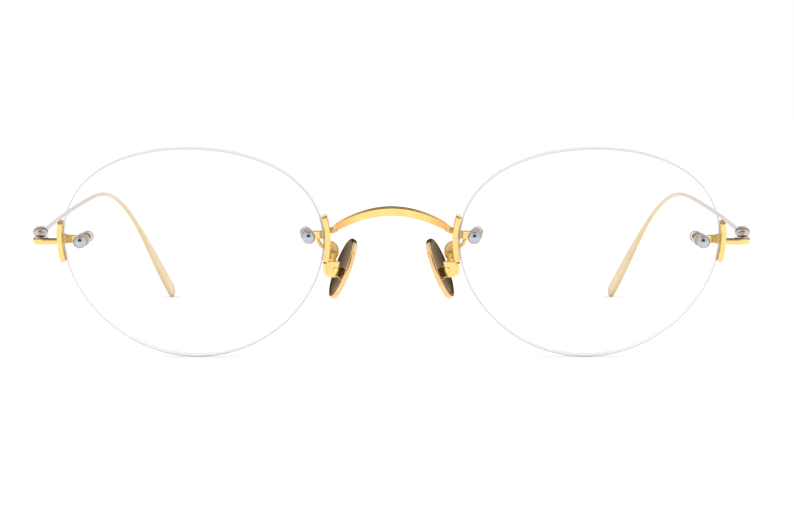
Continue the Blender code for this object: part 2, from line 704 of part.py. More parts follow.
for leftover in list(bpy.data.objects):
    bpy.data.objects.remove(leftover)
PARTS = bpy.data.collections.new("rimless_eyeglasses")
CUTTERS = bpy.data.collections.new("cutters")
bpy.context.scene.collection.children.link(PARTS)
bpy.context.scene.collection.children.link(CUTTERS)
main()
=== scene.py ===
"""The looks of a pair of rimless eyeglasses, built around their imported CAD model.

+X is the wearer's left, +Y points from the lenses back to the temple tips and +Z is up. Each left piece is
modelled in full detail where its CAD node lies, and a mirrored copy makes the right one.
"""

import json
import math

import bmesh
import bpy
from mathutils import Euler, Matrix, Vector


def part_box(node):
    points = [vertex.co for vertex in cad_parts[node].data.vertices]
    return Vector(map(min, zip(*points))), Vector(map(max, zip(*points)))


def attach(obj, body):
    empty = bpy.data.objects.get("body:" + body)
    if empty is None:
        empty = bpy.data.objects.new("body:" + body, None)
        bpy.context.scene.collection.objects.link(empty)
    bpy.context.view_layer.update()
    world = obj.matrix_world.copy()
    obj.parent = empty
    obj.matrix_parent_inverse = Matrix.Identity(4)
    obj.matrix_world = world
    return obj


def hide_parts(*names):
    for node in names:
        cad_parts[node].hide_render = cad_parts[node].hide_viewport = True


MM = 0.001

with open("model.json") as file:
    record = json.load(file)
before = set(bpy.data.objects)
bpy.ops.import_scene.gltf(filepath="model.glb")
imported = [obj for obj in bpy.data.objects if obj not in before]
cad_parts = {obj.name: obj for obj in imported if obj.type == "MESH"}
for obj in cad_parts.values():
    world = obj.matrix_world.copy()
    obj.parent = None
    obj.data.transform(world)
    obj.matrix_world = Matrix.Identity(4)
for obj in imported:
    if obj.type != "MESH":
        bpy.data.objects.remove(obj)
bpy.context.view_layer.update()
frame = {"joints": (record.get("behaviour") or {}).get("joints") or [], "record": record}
JOINTS = {joint["name"]: joint for joint in frame["joints"]}
MOUNTS = {mount["name"]: mount for mount in frame["record"]["mounts"]}

# Lens: the driving dimensions of the CAD lens, and a chamfer on its ground edge
LENS_WIDTH = 47.6 * MM
LENS_HEIGHT = 38.95 * MM
LENS_THICKNESS = 1.8 * MM
LENS_FRONT_RADIUS = 132.0 * MM
LENS_BACK_RADIUS = 126.0 * MM
LENS_SIDE_RISE = 2.51 * MM
LENS_SKEW = 0.39 * MM
LENS_ROUNDNESS = 2.02
LENS_TILT = 9.5
LENS_WRAP = 1.0
LENS_CHAMFER = 0.28 * MM
LENS_HOLE_RADIUS = 0.85 * MM
OUTLINE_STEPS = 288
LENS_RINGS = 22
LENS_EDGE_STEPS = 4

# How square a swept bar's section is: 2 is an ellipse
ROUND = 2.0
FLAT_OVAL = 2.6
SOFT_BAR = 4.5
FLAT_BAND = 6.0

# Straps and the screwed stack through each lens
STRAP_OUTER_ANGLES = (-12.8, 7.6)
STRAP_INNER_ANGLES = (166.8, 190.7)
STRAP_FIT = 0.06 * MM
STRAP_THICKNESS = 1.18 * MM
STRAP_FRONT = -1.9 * MM
STRAP_BACK = -5.05 * MM
STRAP_ROUND = 0.3 * MM
STRAP_END_THICKNESS = 0.7
STRAP_END_DEPTH = 0.72
EYELET_RADIUS = 1.25 * MM
TONGUE_HALF_HEIGHT = 0.72 * MM
TONGUE_FRONT = -2.28 * MM
TONGUE_BACK = -2.98 * MM
TONGUE_FLARE = 1.35
TONGUE_FLARE_LENGTH = 1.0 * MM
TONGUE_EASE = 0.1 * MM
SEAT_GAP = 0.03 * MM
BUSH_RADIUS = 0.80 * MM
BUSH_BORE = 0.64 * MM
WASHER_RADIUS = 1.2 * MM
WASHER_FRONT = -1.96 * MM
SCREW_RADIUS = 0.58 * MM
SCREW_END = -5.15 * MM
SCREW_EASE = 0.12 * MM
DOME_RADIUS = 1.18 * MM
DOME_HEIGHT = 0.78 * MM
DOME_RIM = 0.06 * MM
NUT_RADIUS = 1.0 * MM
NUT_BACK = -4.5 * MM
KEY_SLOT_HALF_WIDTH = 0.13 * MM
KEY_SLOT_DEPTH = 0.25 * MM
CAP_RADIUS = 1.08 * MM
CAP_BACK = -5.9 * MM

# Bridge
BRIDGE_ARCH = 0.0296 / MM
BRIDGE_BOW = 0.009 / MM
BRIDGE_HALF_SPAN = 9.8 * MM
BRIDGE_TURN = (
    (0.25 * MM, 0.45 * MM, -0.2 * MM),
    (0.4 * MM, 1.2 * MM, -0.45 * MM),
    (0.75 * MM, 2.0 * MM, -0.7 * MM),
    (1.15 * MM, 2.5 * MM, -0.85 * MM),
)
BRIDGE_HEIGHT = 1.7 * MM
BRIDGE_DEPTH = 1.1 * MM
BRIDGE_TAPER = 0.16
BRIDGE_END_TAPER = 0.13
BAR_ROLL = -12.0

# Nose pads
PAD_LENGTH = 11.75 * MM
PAD_WIDTH = 7.6 * MM
PAD_THICKNESS = 1.1 * MM
PAD_INSET = 1.0 * MM
PAD_RISE = 0.8 * MM
PAD_RIM = 0.26 * MM
PAD_DISH = 0.16 * MM
PAD_CROWN = 0.14 * MM
LUG_RADIUS = 0.8 * MM
LUG_HALF_THICKNESS = 0.35 * MM
LUG_NECK = 0.62 * MM
LUG_ROOT = 1.2 * MM
LUG_FLARE = 0.25 * MM
LUG_SINK = 0.35 * MM
PAD_SCREW_RADIUS = 0.34 * MM
PAD_SCREW_HEAD = 0.62 * MM
PAD_SCREW_PROUD = 0.12 * MM
PAD_SLOT_TURN = 20
PAD_BORE = 0.40 * MM
BOX_TOP = 1.65 * MM
BOX_FOOT = -1.35 * MM
BOX_OUT = 1.95 * MM
BOX_NOSE_TOP = -0.95 * MM
BOX_NOSE_FOOT = -0.2 * MM
BOX_CORNER = 1.2 * MM
BOX_HALF_WIDTH = 1.1 * MM
SLOT_HALF_WIDTH = 0.45 * MM
SLOT_END = 1.05 * MM
SLOT_TOP = 1.0 * MM
ARM_RADIUS = 0.95 * MM
ARM_ROOT_RADIUS = 0.36 * MM
ARM_ROOT_FLARE = 0.1 * MM
ARM_GROWTH_START = 0.33
ARM_GROWTH_SPAN = 0.22
ARM_ROOT = (-1.7 * MM, -0.2 * MM, -2.9 * MM)
ARM_START = 1.34 * MM
ARM_ROUTE = (
    (13.1 * MM, 7.4 * MM, 20.55 * MM),
    (12.4 * MM, 8.5 * MM, 20.05 * MM),
    (11.6 * MM, 9.4 * MM, 20.25 * MM),
    (10.8 * MM, 9.7 * MM, 19.7 * MM),
    (10.75 * MM, 9.1 * MM, 18.7 * MM),
)
ARM_FOOT_X = 0.65 * MM
ARM_FOOT_DEPTH = 0.15 * MM
ARM_FOOT_LEAD = 0.8 * MM

# Endpieces and hinges
KNUCKLE_RADIUS = 1.41 * MM
KNUCKLE_FLAT = 0.45 * MM
HINGE_GAP = 0.03 * MM
BAR_HEIGHT = 1.02 * MM
BAR_WIDTH = 1.3 * MM
BAR_RISE = 0.26 * MM
BAR_TURN_RADIUS = 1.5 * MM
BAR_OUTSET = 0.1 * MM
BAR_SWELL = 0.06
HINGE_SCREW_RADIUS = 0.6 * MM
HINGE_SCREW_HEAD = 0.82 * MM
HINGE_SCREW_PROUD = 0.15 * MM
HINGE_SLOT_TURN = 35
HINGE_BORE = 0.65 * MM
HEAD_HEIGHT = 0.2 * MM
DRIVER_SLOT_HALF_WIDTH = 0.09 * MM
DRIVER_SLOT_FLOOR = 0.4
SLIP_WASHER_SHARE = 0.97
SLIP_WASHER_EASE = 0.05 * MM

# Temples
TEMPLE_LENGTH = 145.0 * MM
TEMPLE_START = 1.0 * MM
TEMPLE_Z = 22.32 * MM
TEMPLE_RISE = 3.85
TEMPLE_BEND = 37.69
BEND_START = 58.3 * MM
BEND_LENGTH = 73.0 * MM
BOW_OUT = -0.0145
BOW_IN = 0.132 / (100.0 * MM)
BOW_END = 100.0 * MM
TIP_START = 95.0 * MM
TIP_IN = 0.078 / (50.0 * MM)
WIRE_RADIUS = 0.46 * MM
PADDLE_START = 104.0 * MM
PADDLE_GROWTH = 34.0 * MM
PADDLE_HALF_HEIGHT = 1.6 * MM
PADDLE_HALF_WIDTH = 0.6 * MM
TIP_ROUND = 2.5 * MM

# Plated metals: light tone, deep tone, roughness and the tone of worn edges
PLATINGS = {
    "gold": ((1.0, 0.73, 0.28), (0.94, 0.65, 0.22), 0.13, (1.0, 0.80, 0.42)),
    "satin_gold": ((1.0, 0.74, 0.30), (0.94, 0.66, 0.24), 0.44, (1.0, 0.80, 0.42)),
    "pad_gold": ((0.98, 0.70, 0.37), (0.88, 0.58, 0.27), 0.12, (1.0, 0.80, 0.52)),
    "bridge_gold": ((1.0, 0.73, 0.28), (0.94, 0.65, 0.22), 0.13, (1.0, 0.80, 0.42)),
    "steel": ((0.58, 0.59, 0.64), (0.50, 0.51, 0.57), 0.15, (0.72, 0.72, 0.75)),
    "rose_plate": ((0.88, 0.78, 0.74), (0.80, 0.70, 0.66), 0.30, (0.92, 0.85, 0.82)),
    "nut_plate": ((0.66, 0.58, 0.57), (0.56, 0.48, 0.47), 0.32, (0.80, 0.72, 0.70)),
}

# Bridge ends: a share of the half span where the warm tone starts, and where the brazed joint lies past it
WARM_GOLD = (0.88, 0.44, 0.13)
WARM_START = 0.62
BRAZED_GOLD = (1.0, 0.84, 0.50)
BRAZED_RANGE = (0.2 * MM, 0.45 * MM)
BRAZED_ROUGHNESS = 0.6
BRAZED_METALLIC = 0.35

# Temples: light and deep tones, a painted dark brown reflection on the rounded tip, and lengths from the
# hinge or back from the tip
SILVER_TONES = ((0.67, 0.61, 0.59), (0.57, 0.51, 0.49))
PALE_TONES = ((0.80, 0.62, 0.36), (0.70, 0.52, 0.27))
# Painted reflection: the dark brown of the temple's rounded tip, the lengths back from the tip where it is
# painted, and how strongly
TIP_PAINTED_REFLECTION_TONE = (0.30, 0.21, 0.15)
SILVER_LENGTH = 30 * MM
PALE_LENGTH = 45 * MM
TIP_REFLECTION_RANGE = (2.4 * MM, 1.1 * MM)
TIP_REFLECTION_SHARE = 0.85
SATIN_LENGTH = 12 * MM
SATIN_ROUGHNESS = 0.22

# Clear and milky materials
LENS_TINT = (0.995, 0.998, 0.998)
LENS_GLOSS = 0.35
LENS_ROUGHNESS = 0.012
CAP_TINT = (0.90, 0.91, 0.95)
CAP_ROUGHNESS = 0.06
CAP_IOR = 1.46
GLASS_IOR = 1.5
COATING_TONES = ((0.80, 0.92, 1.0), (1.0, 0.86, 0.97))
SMEAR_TINT = 0.995
# Painted shade and painted light: one ground glass edge, toned darker on the front bevel and lighter on the
# rim and back bevel to even out how light falls on them
FRONT_BEVEL_SHADED_TONES = ((0.63, 0.625, 0.63), (0.58, 0.575, 0.58))
BEVEL_OPACITY = 0.92
RIM_AND_BACK_BEVEL_LIT_TONES = ((0.72, 0.72, 0.73), (0.66, 0.66, 0.67))
EDGE_OPACITY = 0.34
NYLON_TONES = ((0.66, 0.56, 0.51), (0.54, 0.45, 0.41))
PAPER_TONES = ((0.90, 0.90, 0.90), (0.895, 0.895, 0.895))

# Camera
CAMERA_DISTANCE = 450.0 * MM
CAMERA_PITCH = 3.75
CAMERA_TARGET_Z = 17.59 * MM
CAMERA_LENS = 112.6
CAMERA_SHIFT = 0.0069
SENSOR_WIDTH = 36.0

# Softboxes: name, place and power
SOFTBOX_SIZE = 0.9
SOFTBOXES = (("key_light", (-0.5, -0.7, 0.9), 1.8), ("fill_light", (0.7, 0.3, 0.8), 1.2))
FLOOR_RADIUS = 6.0

# Studio seen from the glasses. Each pair is where a change starts and ends: along the y or z of a
# direction, or as x over y for what lies to the sides. The shade's pair is in degrees from its middle.
ROOM_FRONT = (0.10, 0.45)
BACKDROP_SIDE = (0.36, 0.45)
BACKDROP_TOP = (0.36, 0.45)
ROOM_WALLS = (1.3, 1.8)
ROOM_DARKNESS = 0.76
ROOM_DEEPENING = 0.21
ROOM_DEEPENING_RANGE = (0.10, 0.20)
SHADE_ELEVATION = 22.0
SHADE_ANGLES = (34.0, 25.0)
SHADE_DARKNESS = 0.95
CEILING_RANGE = (0.75, 0.97)
CEILING_DARKNESS = 0.5
BOUNCED_LIGHT = 0.17


def smooth(t):
    """Goes from 0 to 1 with no kink at either end."""
    t = min(max(t, 0.0), 1.0)
    return t * t * (3 - 2 * t)


def turn(x=0.0, y=0.0, z=0.0):
    """A rotation by degrees about x, then y, then z."""
    return Euler((math.radians(x), math.radians(y), math.radians(z))).to_matrix().to_4x4()


def axes_frame(x, y, z, origin):
    """A placement from three unit axes and an origin."""
    return Matrix.Translation(origin) @ Matrix((x, y, z)).transposed().to_4x4()


# ---------------------------------------------------------------- the lens's own surfaces and outline

def sag(radius_of_curve, radius):
    """How far a curved surface lies behind its middle at a radius."""
    return radius_of_curve - math.sqrt(radius_of_curve**2 - radius**2)


def outline_point(angle):
    """A point of the lens outline: a superellipse whose sides are pulled up."""
    c, s = math.cos(angle), math.sin(angle)
    side = math.copysign(abs(c) ** (2 / LENS_ROUNDNESS), c)
    rise = math.copysign(abs(s) ** (2 / LENS_ROUNDNESS), s)
    return Vector((
        LENS_WIDTH / 2 * side,
        LENS_HEIGHT / 2 * rise + LENS_SIDE_RISE * side**2 + LENS_SKEW * side,
        0,
    ))


def edge_point(degrees, outset):
    """A point moved out from the lens outline along its normal."""
    angle = math.radians(degrees)
    along = outline_point(angle + 0.02) - outline_point(angle - 0.02)
    return outline_point(angle) + Vector((along.y, -along.x, 0)).normalized() * outset


def lens_height(point, back=False):
    """Where the front or back surface of the lens lies above a point of its plane."""
    if back:
        return -LENS_THICKNESS - sag(LENS_BACK_RADIUS, point.xy.length)
    return -sag(LENS_FRONT_RADIUS, point.xy.length)


def find_lens_frame():
    """The left lens's frame (x to the temple, y up, z forwards), placed so that its box is the CAD lens's."""
    rotation = turn(x=90 + LENS_TILT, z=LENS_WRAP)
    rim = [outline_point(math.tau * k / OUTLINE_STEPS) for k in range(OUTLINE_STEPS)]
    points = [rotation @ Vector((p.x, p.y, lens_height(p, back))) for p in rim for back in (False, True)]
    points.append(Vector((0, 0, 0)))
    middle = Vector([(min(p[i] for p in points) + max(p[i] for p in points)) / 2 for i in range(3)])
    low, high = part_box("lens_left")
    return Matrix.Translation((low + high) / 2 - middle) @ rotation


LENS_FRAME = find_lens_frame()


def stack_frame(screw_node):
    """A lens screw's frame: its origin on the lens's front surface and z out along the lens's normal."""
    low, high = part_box(screw_node)
    curve_centre = Vector((0, 0, -LENS_FRONT_RADIUS))
    normal = (LENS_FRAME.inverted() @ ((low + high) / 2) - curve_centre).normalized()
    up = normal.cross(Vector((1, 0, 0))).normalized()
    place = curve_centre + normal * LENS_FRONT_RADIUS
    return LENS_FRAME @ axes_frame(up.cross(normal), up, normal, place)


OUTER_STACK = stack_frame("lens_screw_outer_left")
INNER_STACK = stack_frame("lens_screw_inner_left")

HINGE = Vector(JOINTS["temple_left_fold"]["pos_m"])
HINGE_FRAME = Matrix.Translation((HINGE.x, HINGE.y, 0))
EYELET_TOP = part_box("hinge_washer_left")[0].z - HINGE_GAP
KNUCKLE_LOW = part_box("hinge_washer_left")[1].z + HINGE_GAP
KNUCKLE_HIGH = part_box("hinge_screw_left")[1].z - HEAD_HEIGHT - HINGE_GAP

PAD_PIVOT = Vector(JOINTS["nose_pad_left_rock"]["pos_m"])
PAD_AXIS = Vector(JOINTS["nose_pad_left_rock"]["axis"]).normalized()
PAD_OUT = -Vector(MOUNTS["nose_pad_left_face"]["axis"]).normalized()
UP = Vector((0, 0, 1))
PAD_MOUNT_FRAME = axes_frame(PAD_AXIS.cross(UP), PAD_AXIS, UP, PAD_PIVOT)
PAD_FRAME = axes_frame(PAD_OUT, PAD_AXIS, PAD_OUT.cross(PAD_AXIS), PAD_PIVOT)
FRONT_Y = LENS_FRAME.translation.y


# ---------------------------------------------------------------- mesh making

def finish_mesh(name, bm, place):
    """Ends a bmesh with its faces pointing out, and puts it in the scene at a place."""
    bmesh.ops.recalc_face_normals(bm, faces=bm.faces)
    mesh = bpy.data.meshes.new(name)
    bm.to_mesh(mesh)
    bm.free()
    mesh.transform(place)
    obj = bpy.data.objects.new(name, mesh)
    bpy.context.scene.collection.objects.link(obj)
    return obj


def loft(name, rings, place=Matrix(), closed=False):
    """A solid through rings of points. One point is a pole, and closed joins the last ring to the first."""
    bm = bmesh.new()
    loops = [[bm.verts.new(point) for point in ring] for ring in rings]
    pairs = list(zip(loops, loops[1:]))
    if closed:
        pairs.append((loops[-1], loops[0]))
    for low, high in pairs:
        count = max(len(low), len(high))
        for i in range(count if count > 1 else 0):
            j = (i + 1) % count
            corners = [low[i % len(low)], low[j % len(low)], high[j % len(high)], high[i % len(high)]]
            bm.faces.new(list(dict.fromkeys(corners)))
    if not closed:
        for loop in (loops[0], loops[-1]):
            if len(loop) > 2:
                bm.faces.new(loop)
    return finish_mesh(name, bm, place)


def lathe(name, profile, place, sides=72):
    """A solid turned about z from the (radius, height) points of a closed profile."""
    rings = []
    for radius, height in profile:
        if radius < 1e-9:
            rings.append([Vector((0, 0, height))])
            continue
        turns = [math.tau * k / sides for k in range(sides)]
        rings.append([Vector((radius * math.cos(a), radius * math.sin(a), height)) for a in turns])
    return loft(name, rings, place, closed=True)


def arc(centre, radius, start, end, steps):
    """Points of an arc, with angles in degrees."""
    turns = [math.radians(start + (end - start) * k / steps) for k in range(steps + 1)]
    return [(centre[0] + radius * math.cos(a), centre[1] + radius * math.sin(a)) for a in turns]


def rounded(corners, steps=6):
    """A closed outline through (x, y, radius) corners, with an arc at each corner."""
    outline = []
    for before, corner, after in zip([corners[-1], *corners], corners, [*corners[1:], corners[0]]):
        here, radius = Vector(corner[:2]), corner[2]
        if radius == 0:
            outline.append(here)
            continue
        back = (Vector(before[:2]) - here).normalized()
        ahead = (Vector(after[:2]) - here).normalized()
        half = back.angle(ahead) / 2
        centre = here + (back + ahead).normalized() * radius / math.sin(half)
        start = here + back * radius / math.tan(half) - centre
        end = here + ahead * radius / math.tan(half) - centre
        for k in range(steps + 1):
            outline.append(centre + start.lerp(end, k / steps).normalized() * radius)
    return outline


def prism(name, outline, low, high, place, soft=0.0, segments=4):
    """A flat outline extruded from low to high along z, with its sharp edges rounded by soft."""
    bm = bmesh.new()
    floor = [bm.verts.new((p[0], p[1], low)) for p in outline]
    top = [bm.verts.new((p[0], p[1], high)) for p in outline]
    bm.faces.new(floor)
    bm.faces.new(top)
    for i in range(len(outline)):
        j = (i + 1) % len(outline)
        bm.faces.new((floor[i], floor[j], top[j], top[i]))
    bmesh.ops.recalc_face_normals(bm, faces=bm.faces)
    if soft:
        sharp = [edge for edge in bm.edges if edge.calc_face_angle(0) > math.radians(30)]
        bmesh.ops.bevel(
            bm, geom=sharp, offset=soft, segments=segments, profile=0.5, affect="EDGES", clamp_overlap=True
        )
    return finish_mesh(name, bm, place)


def sweep(name, path, section, sides=28, up=None, place=Matrix(), roll=0.0):
    """A solid along a path: section gives the half width, half height and roundness at each point.

    Roll turns the section about the path by degrees.
    """
    turned_c, turned_s = math.cos(math.radians(roll)), math.sin(math.radians(roll))
    lift = up or (path[1] - path[0]).orthogonal()
    rings = []
    for i, centre in enumerate(path):
        ahead = (path[min(i + 1, len(path) - 1)] - path[max(i - 1, 0)]).normalized()
        across = ahead.cross(up or lift).normalized()
        lift = across.cross(ahead)
        wide = across * turned_c + lift * turned_s
        tall = lift * turned_c - across * turned_s
        half_width, half_height, roundness = section(i)
        ring = []
        for k in range(sides):
            angle = math.tau * (k + 0.5) / sides
            c, s = math.cos(angle), math.sin(angle)
            ring.append(
                centre
                + wide * half_width * math.copysign(abs(c) ** (2 / roundness), c)
                + tall * half_height * math.copysign(abs(s) ** (2 / roundness), s)
            )
        rings.append(ring)
    return loft(name, rings, place)


def smooth_path(points, steps):
    """A smooth curve through points, with a number of steps between each pair."""
    places = [points[0] * 2 - points[1], *points, points[-1] * 2 - points[-2]]
    path = []
    for before, start, end, after in zip(places, places[1:], places[2:], places[3:]):
        for k in range(steps):
            t = k / steps
            path.append(
                (
                    start * 2
                    + (end - before) * t
                    + (before * 2 - start * 5 + end * 4 - after) * t**2
                    + (start * 3 - before - end * 3 + after) * t**3
                )
                / 2
            )
    return [*path, points[-1]]


def combine(obj, other, operation):
    """Joins another solid to obj, or cuts it away, and keeps the result as obj's mesh."""
    modifier = obj.modifiers.new("combine", "BOOLEAN")
    modifier.operation = operation
    modifier.solver = "EXACT"
    modifier.material_mode = "INDEX"
    modifier.object = other
    bpy.context.view_layer.update()
    result = bpy.data.meshes.new_from_object(obj.evaluated_get(bpy.context.evaluated_depsgraph_get()))
    obj.modifiers.clear()
    obj.data = result
    bpy.data.objects.remove(other)
    return obj


def bore(obj, radius, low, high, place):
    """Drills a round hole along z."""
    drill = lathe("drill", [(0, high), (radius, high), (radius, low), (0, low)], place, 48)
    return combine(obj, drill, "DIFFERENCE")


def slot_across(obj, half_length, half_width, low, high, place):
    """Cuts a driver slot across a screw head or a nut."""
    corners = ((-1, -1), (1, -1), (1, 1), (-1, 1))
    outline = [(half_length * x, half_width * y) for x, y in corners]
    return combine(obj, prism("slot", outline, low, high, place), "DIFFERENCE")


# ---------------------------------------------------------------- materials

def new_material(name):
    """A material with its node tree and its Principled node."""
    material = bpy.data.materials.new(name)
    material.use_nodes = True
    return material, material.node_tree, material.node_tree.nodes["Principled BSDF"]


def pattern(tree, scale, stretch=(1, 1, 1), detail=3.0):
    """A noise in the object's own space. Scale is in waves per metre."""
    coordinates = tree.nodes.new("ShaderNodeTexCoord")
    mapping = tree.nodes.new("ShaderNodeMapping")
    mapping.inputs["Scale"].default_value = stretch
    noise = tree.nodes.new("ShaderNodeTexNoise")
    noise.inputs["Scale"].default_value = scale
    noise.inputs["Detail"].default_value = detail
    tree.links.new(coordinates.outputs["Object"], mapping.inputs["Vector"])
    tree.links.new(mapping.outputs["Vector"], noise.inputs["Vector"])
    return noise.outputs["Fac"]


def object_axes(tree):
    """The x, y and z of a point in the object's own space."""
    coordinates = tree.nodes.new("ShaderNodeTexCoord")
    split = tree.nodes.new("ShaderNodeSeparateXYZ")
    tree.links.new(coordinates.outputs["Object"], split.inputs["Vector"])
    return split.outputs


def ranged(tree, value, low, high, start=0.3, end=0.7, change="LINEAR"):
    """A value of the range start to end carried to the range low to high."""
    node = tree.nodes.new("ShaderNodeMapRange")
    node.interpolation_type = change
    node.inputs["From Min"].default_value = start
    node.inputs["From Max"].default_value = end
    node.inputs["To Min"].default_value = low
    node.inputs["To Max"].default_value = high
    tree.links.new(value, node.inputs["Value"])
    return node.outputs["Result"]


def blended(tree, factor, first, second):
    """A colour between two colours, each given as three numbers or as a socket."""
    node = tree.nodes.new("ShaderNodeMix")
    node.data_type = "RGBA"
    tree.links.new(factor, node.inputs["Factor"])
    for key, colour in ((6, first), (7, second)):
        if isinstance(colour, tuple):
            node.inputs[key].default_value = (*colour, 1)
        else:
            tree.links.new(colour, node.inputs[key])
    return node.outputs[2]


def step_up(tree, value, start, end):
    """0 below start and 1 above end, with a smooth change between."""
    return ranged(tree, value, 0, 1, start, end, "SMOOTHSTEP")


def mottled(tree, factor, tones):
    """A colour that wanders between a light and a deep tone with a pattern."""
    return blended(tree, ranged(tree, factor, 0, 1), *tones)


def calculated(tree, operation, first, second=None):
    """A Math node on sockets or numbers."""
    node = tree.nodes.new("ShaderNodeMath")
    node.operation = operation
    for key, value in enumerate((first, second)):
        if isinstance(value, bpy.types.NodeSocket):
            tree.links.new(value, node.inputs[key])
        elif value is not None:
            node.inputs[key].default_value = value
    return node.outputs["Value"]


def bumped(tree, height, strength, distance):
    """A normal raised by a height pattern."""
    node = tree.nodes.new("ShaderNodeBump")
    node.inputs["Strength"].default_value = strength
    node.inputs["Distance"].default_value = distance
    tree.links.new(height, node.inputs["Height"])
    return node.outputs["Normal"]


def worn_edges(tree):
    """1 on convex edges, where the plating is polished by handling, and 0 elsewhere."""
    geometry = tree.nodes.new("ShaderNodeNewGeometry")
    return ranged(tree, geometry.outputs["Pointiness"], 0, 1, 0.52, 0.62)


def plated(name, light, deep, roughness, edge):
    """Plated metal: slow colour variation, fine polishing lines, cloudy gloss and brighter edges."""
    material, tree, shader = new_material(name)
    cloud = pattern(tree, 450.0)
    lines = pattern(tree, 900.0, (1, 1, 14), 4.0)
    grain = pattern(tree, 16000.0, detail=2.0)
    colour = blended(tree, worn_edges(tree), mottled(tree, cloud, (light, deep)), edge)
    tree.links.new(colour, shader.inputs["Base Color"])
    shader.inputs["Metallic"].default_value = 1.0
    spread = ranged(tree, lines, roughness * 0.7, roughness * 1.5)
    tree.links.new(spread, shader.inputs["Roughness"])
    tree.links.new(bumped(tree, grain, 0.06, 0.004 * MM), shader.inputs["Normal"])
    return material


def warm_ends(material):
    """Turns the bridge's plating a warmer orange towards its ends, and matte and pale where it is brazed."""
    tree = material.node_tree
    shader = tree.nodes["Principled BSDF"]
    plating, gloss = (shader.inputs[key].links[0].from_socket for key in ("Base Color", "Roughness"))
    sideways = calculated(tree, "ABSOLUTE", object_axes(tree)["X"])
    warmth = ranged(tree, sideways, 0, 1, BRIDGE_HALF_SPAN * WARM_START, BRIDGE_HALF_SPAN)
    joint_start, joint_end = (BRIDGE_HALF_SPAN + past for past in BRAZED_RANGE)
    brazed = ranged(tree, sideways, 0, 1, joint_start, joint_end)
    colour = blended(tree, brazed, blended(tree, warmth, plating, WARM_GOLD), BRAZED_GOLD)
    tree.links.new(colour, shader.inputs["Base Color"])
    matte = calculated(tree, "MULTIPLY", brazed, BRAZED_ROUGHNESS)
    tree.links.new(calculated(tree, "MAXIMUM", gloss, matte), shader.inputs["Roughness"])
    tree.links.new(ranged(tree, brazed, 1.0, BRAZED_METALLIC, 0, 1), shader.inputs["Metallic"])


def temple_metal():
    """Pale plate that runs from almost silver at the hinge to gold at the temple tip, with a painted dark
    reflection at its rounded end.
    """
    material, tree, shader = new_material("pale_gold")
    y = object_axes(tree)["Y"]
    low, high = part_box("temple_left")
    along = ranged(tree, y, 0, 1, low.y + SILVER_LENGTH, high.y - PALE_LENGTH)
    cloud = pattern(tree, 300.0)
    silver, gold = mottled(tree, cloud, SILVER_TONES), mottled(tree, cloud, PALE_TONES)
    # Painted reflection: the last few millimetres of the tip are darkened to brown as if they mirrored
    # something dark
    tip = ranged(tree, y, 0, TIP_REFLECTION_SHARE, high.y - TIP_REFLECTION_RANGE[0], high.y - TIP_REFLECTION_RANGE[1])
    plating = blended(tree, tip, blended(tree, along, silver, gold), TIP_PAINTED_REFLECTION_TONE)
    tree.links.new(plating, shader.inputs["Base Color"])
    shader.inputs["Metallic"].default_value = 1.0
    lines = pattern(tree, 2500.0, (6, 0.25, 6), 4.0)
    satin = ranged(tree, y, SATIN_ROUGHNESS, 0.0, low.y, low.y + SATIN_LENGTH)
    roughness = calculated(tree, "ADD", ranged(tree, lines, 0.10, 0.22), satin)
    tree.links.new(roughness, shader.inputs["Roughness"])
    tree.links.new(bumped(tree, lines, 0.05, 0.004 * MM), shader.inputs["Normal"])
    return material


def clear_coat(name, tint, gloss, rough, ior):
    """A clear body that shows what is behind it and mirrors a share of its surroundings."""
    material, tree, shader = new_material(name)
    tree.nodes.remove(shader)
    through = tree.nodes.new("ShaderNodeBsdfTransparent")
    mirror = tree.nodes.new("ShaderNodeBsdfGlossy")
    fresnel = tree.nodes.new("ShaderNodeFresnel")
    fresnel.inputs["IOR"].default_value = ior
    share = calculated(tree, "MULTIPLY", fresnel.outputs["Fac"], gloss)
    smears = pattern(tree, 180.0, (1, 1, 3), 5.0)
    tree.links.new(ranged(tree, smears, rough * 0.5, rough * 1.6), mirror.inputs["Roughness"])
    weight = tree.nodes.new("ShaderNodeLayerWeight")
    coating = blended(tree, weight.outputs["Facing"], *COATING_TONES)
    tree.links.new(coating, mirror.inputs["Color"])
    smeared = tuple(c * SMEAR_TINT for c in tint)
    tree.links.new(mottled(tree, smears, (tint, smeared)), through.inputs["Color"])
    mix = tree.nodes.new("ShaderNodeMixShader")
    tree.links.new(share, mix.inputs["Fac"])
    tree.links.new(through.outputs["BSDF"], mix.inputs[1])
    tree.links.new(mirror.outputs["BSDF"], mix.inputs[2])
    tree.links.new(mix.outputs["Shader"], tree.nodes["Material Output"].inputs["Surface"])
    return material


def ground_edge(name, tones, opacity):
    """The satin rim of a lens: fine grinding lines round it in a milky grey, partly see-through."""
    material, tree, shader = new_material(name)
    lines = pattern(tree, 3000.0, (0.3, 6, 0.3), 3.0)
    tree.links.new(mottled(tree, lines, tones), shader.inputs["Base Color"])
    tree.links.new(ranged(tree, lines, 0.45, 0.65), shader.inputs["Roughness"])
    tree.links.new(bumped(tree, lines, 0.15, 0.01 * MM), shader.inputs["Normal"])
    tree.links.new(ranged(tree, lines, opacity * 0.92, opacity), shader.inputs["Alpha"])
    shader.inputs["IOR"].default_value = GLASS_IOR
    return material


def smoky_nylon():
    """The smoky nylon of the washers, a little cloudy and duller in its turned grooves."""
    material, tree, shader = new_material("smoky_nylon")
    cloud = pattern(tree, 700.0, (1, 1, 1), 4.0)
    grooves = pattern(tree, 5000.0, (1, 6, 1), 2.0)
    tree.links.new(mottled(tree, cloud, NYLON_TONES), shader.inputs["Base Color"])
    tree.links.new(ranged(tree, grooves, 0.25, 0.45), shader.inputs["Roughness"])
    tree.links.new(bumped(tree, grooves, 0.1, 0.01 * MM), shader.inputs["Normal"])
    return material


# ---------------------------------------------------------------- pieces of the left half

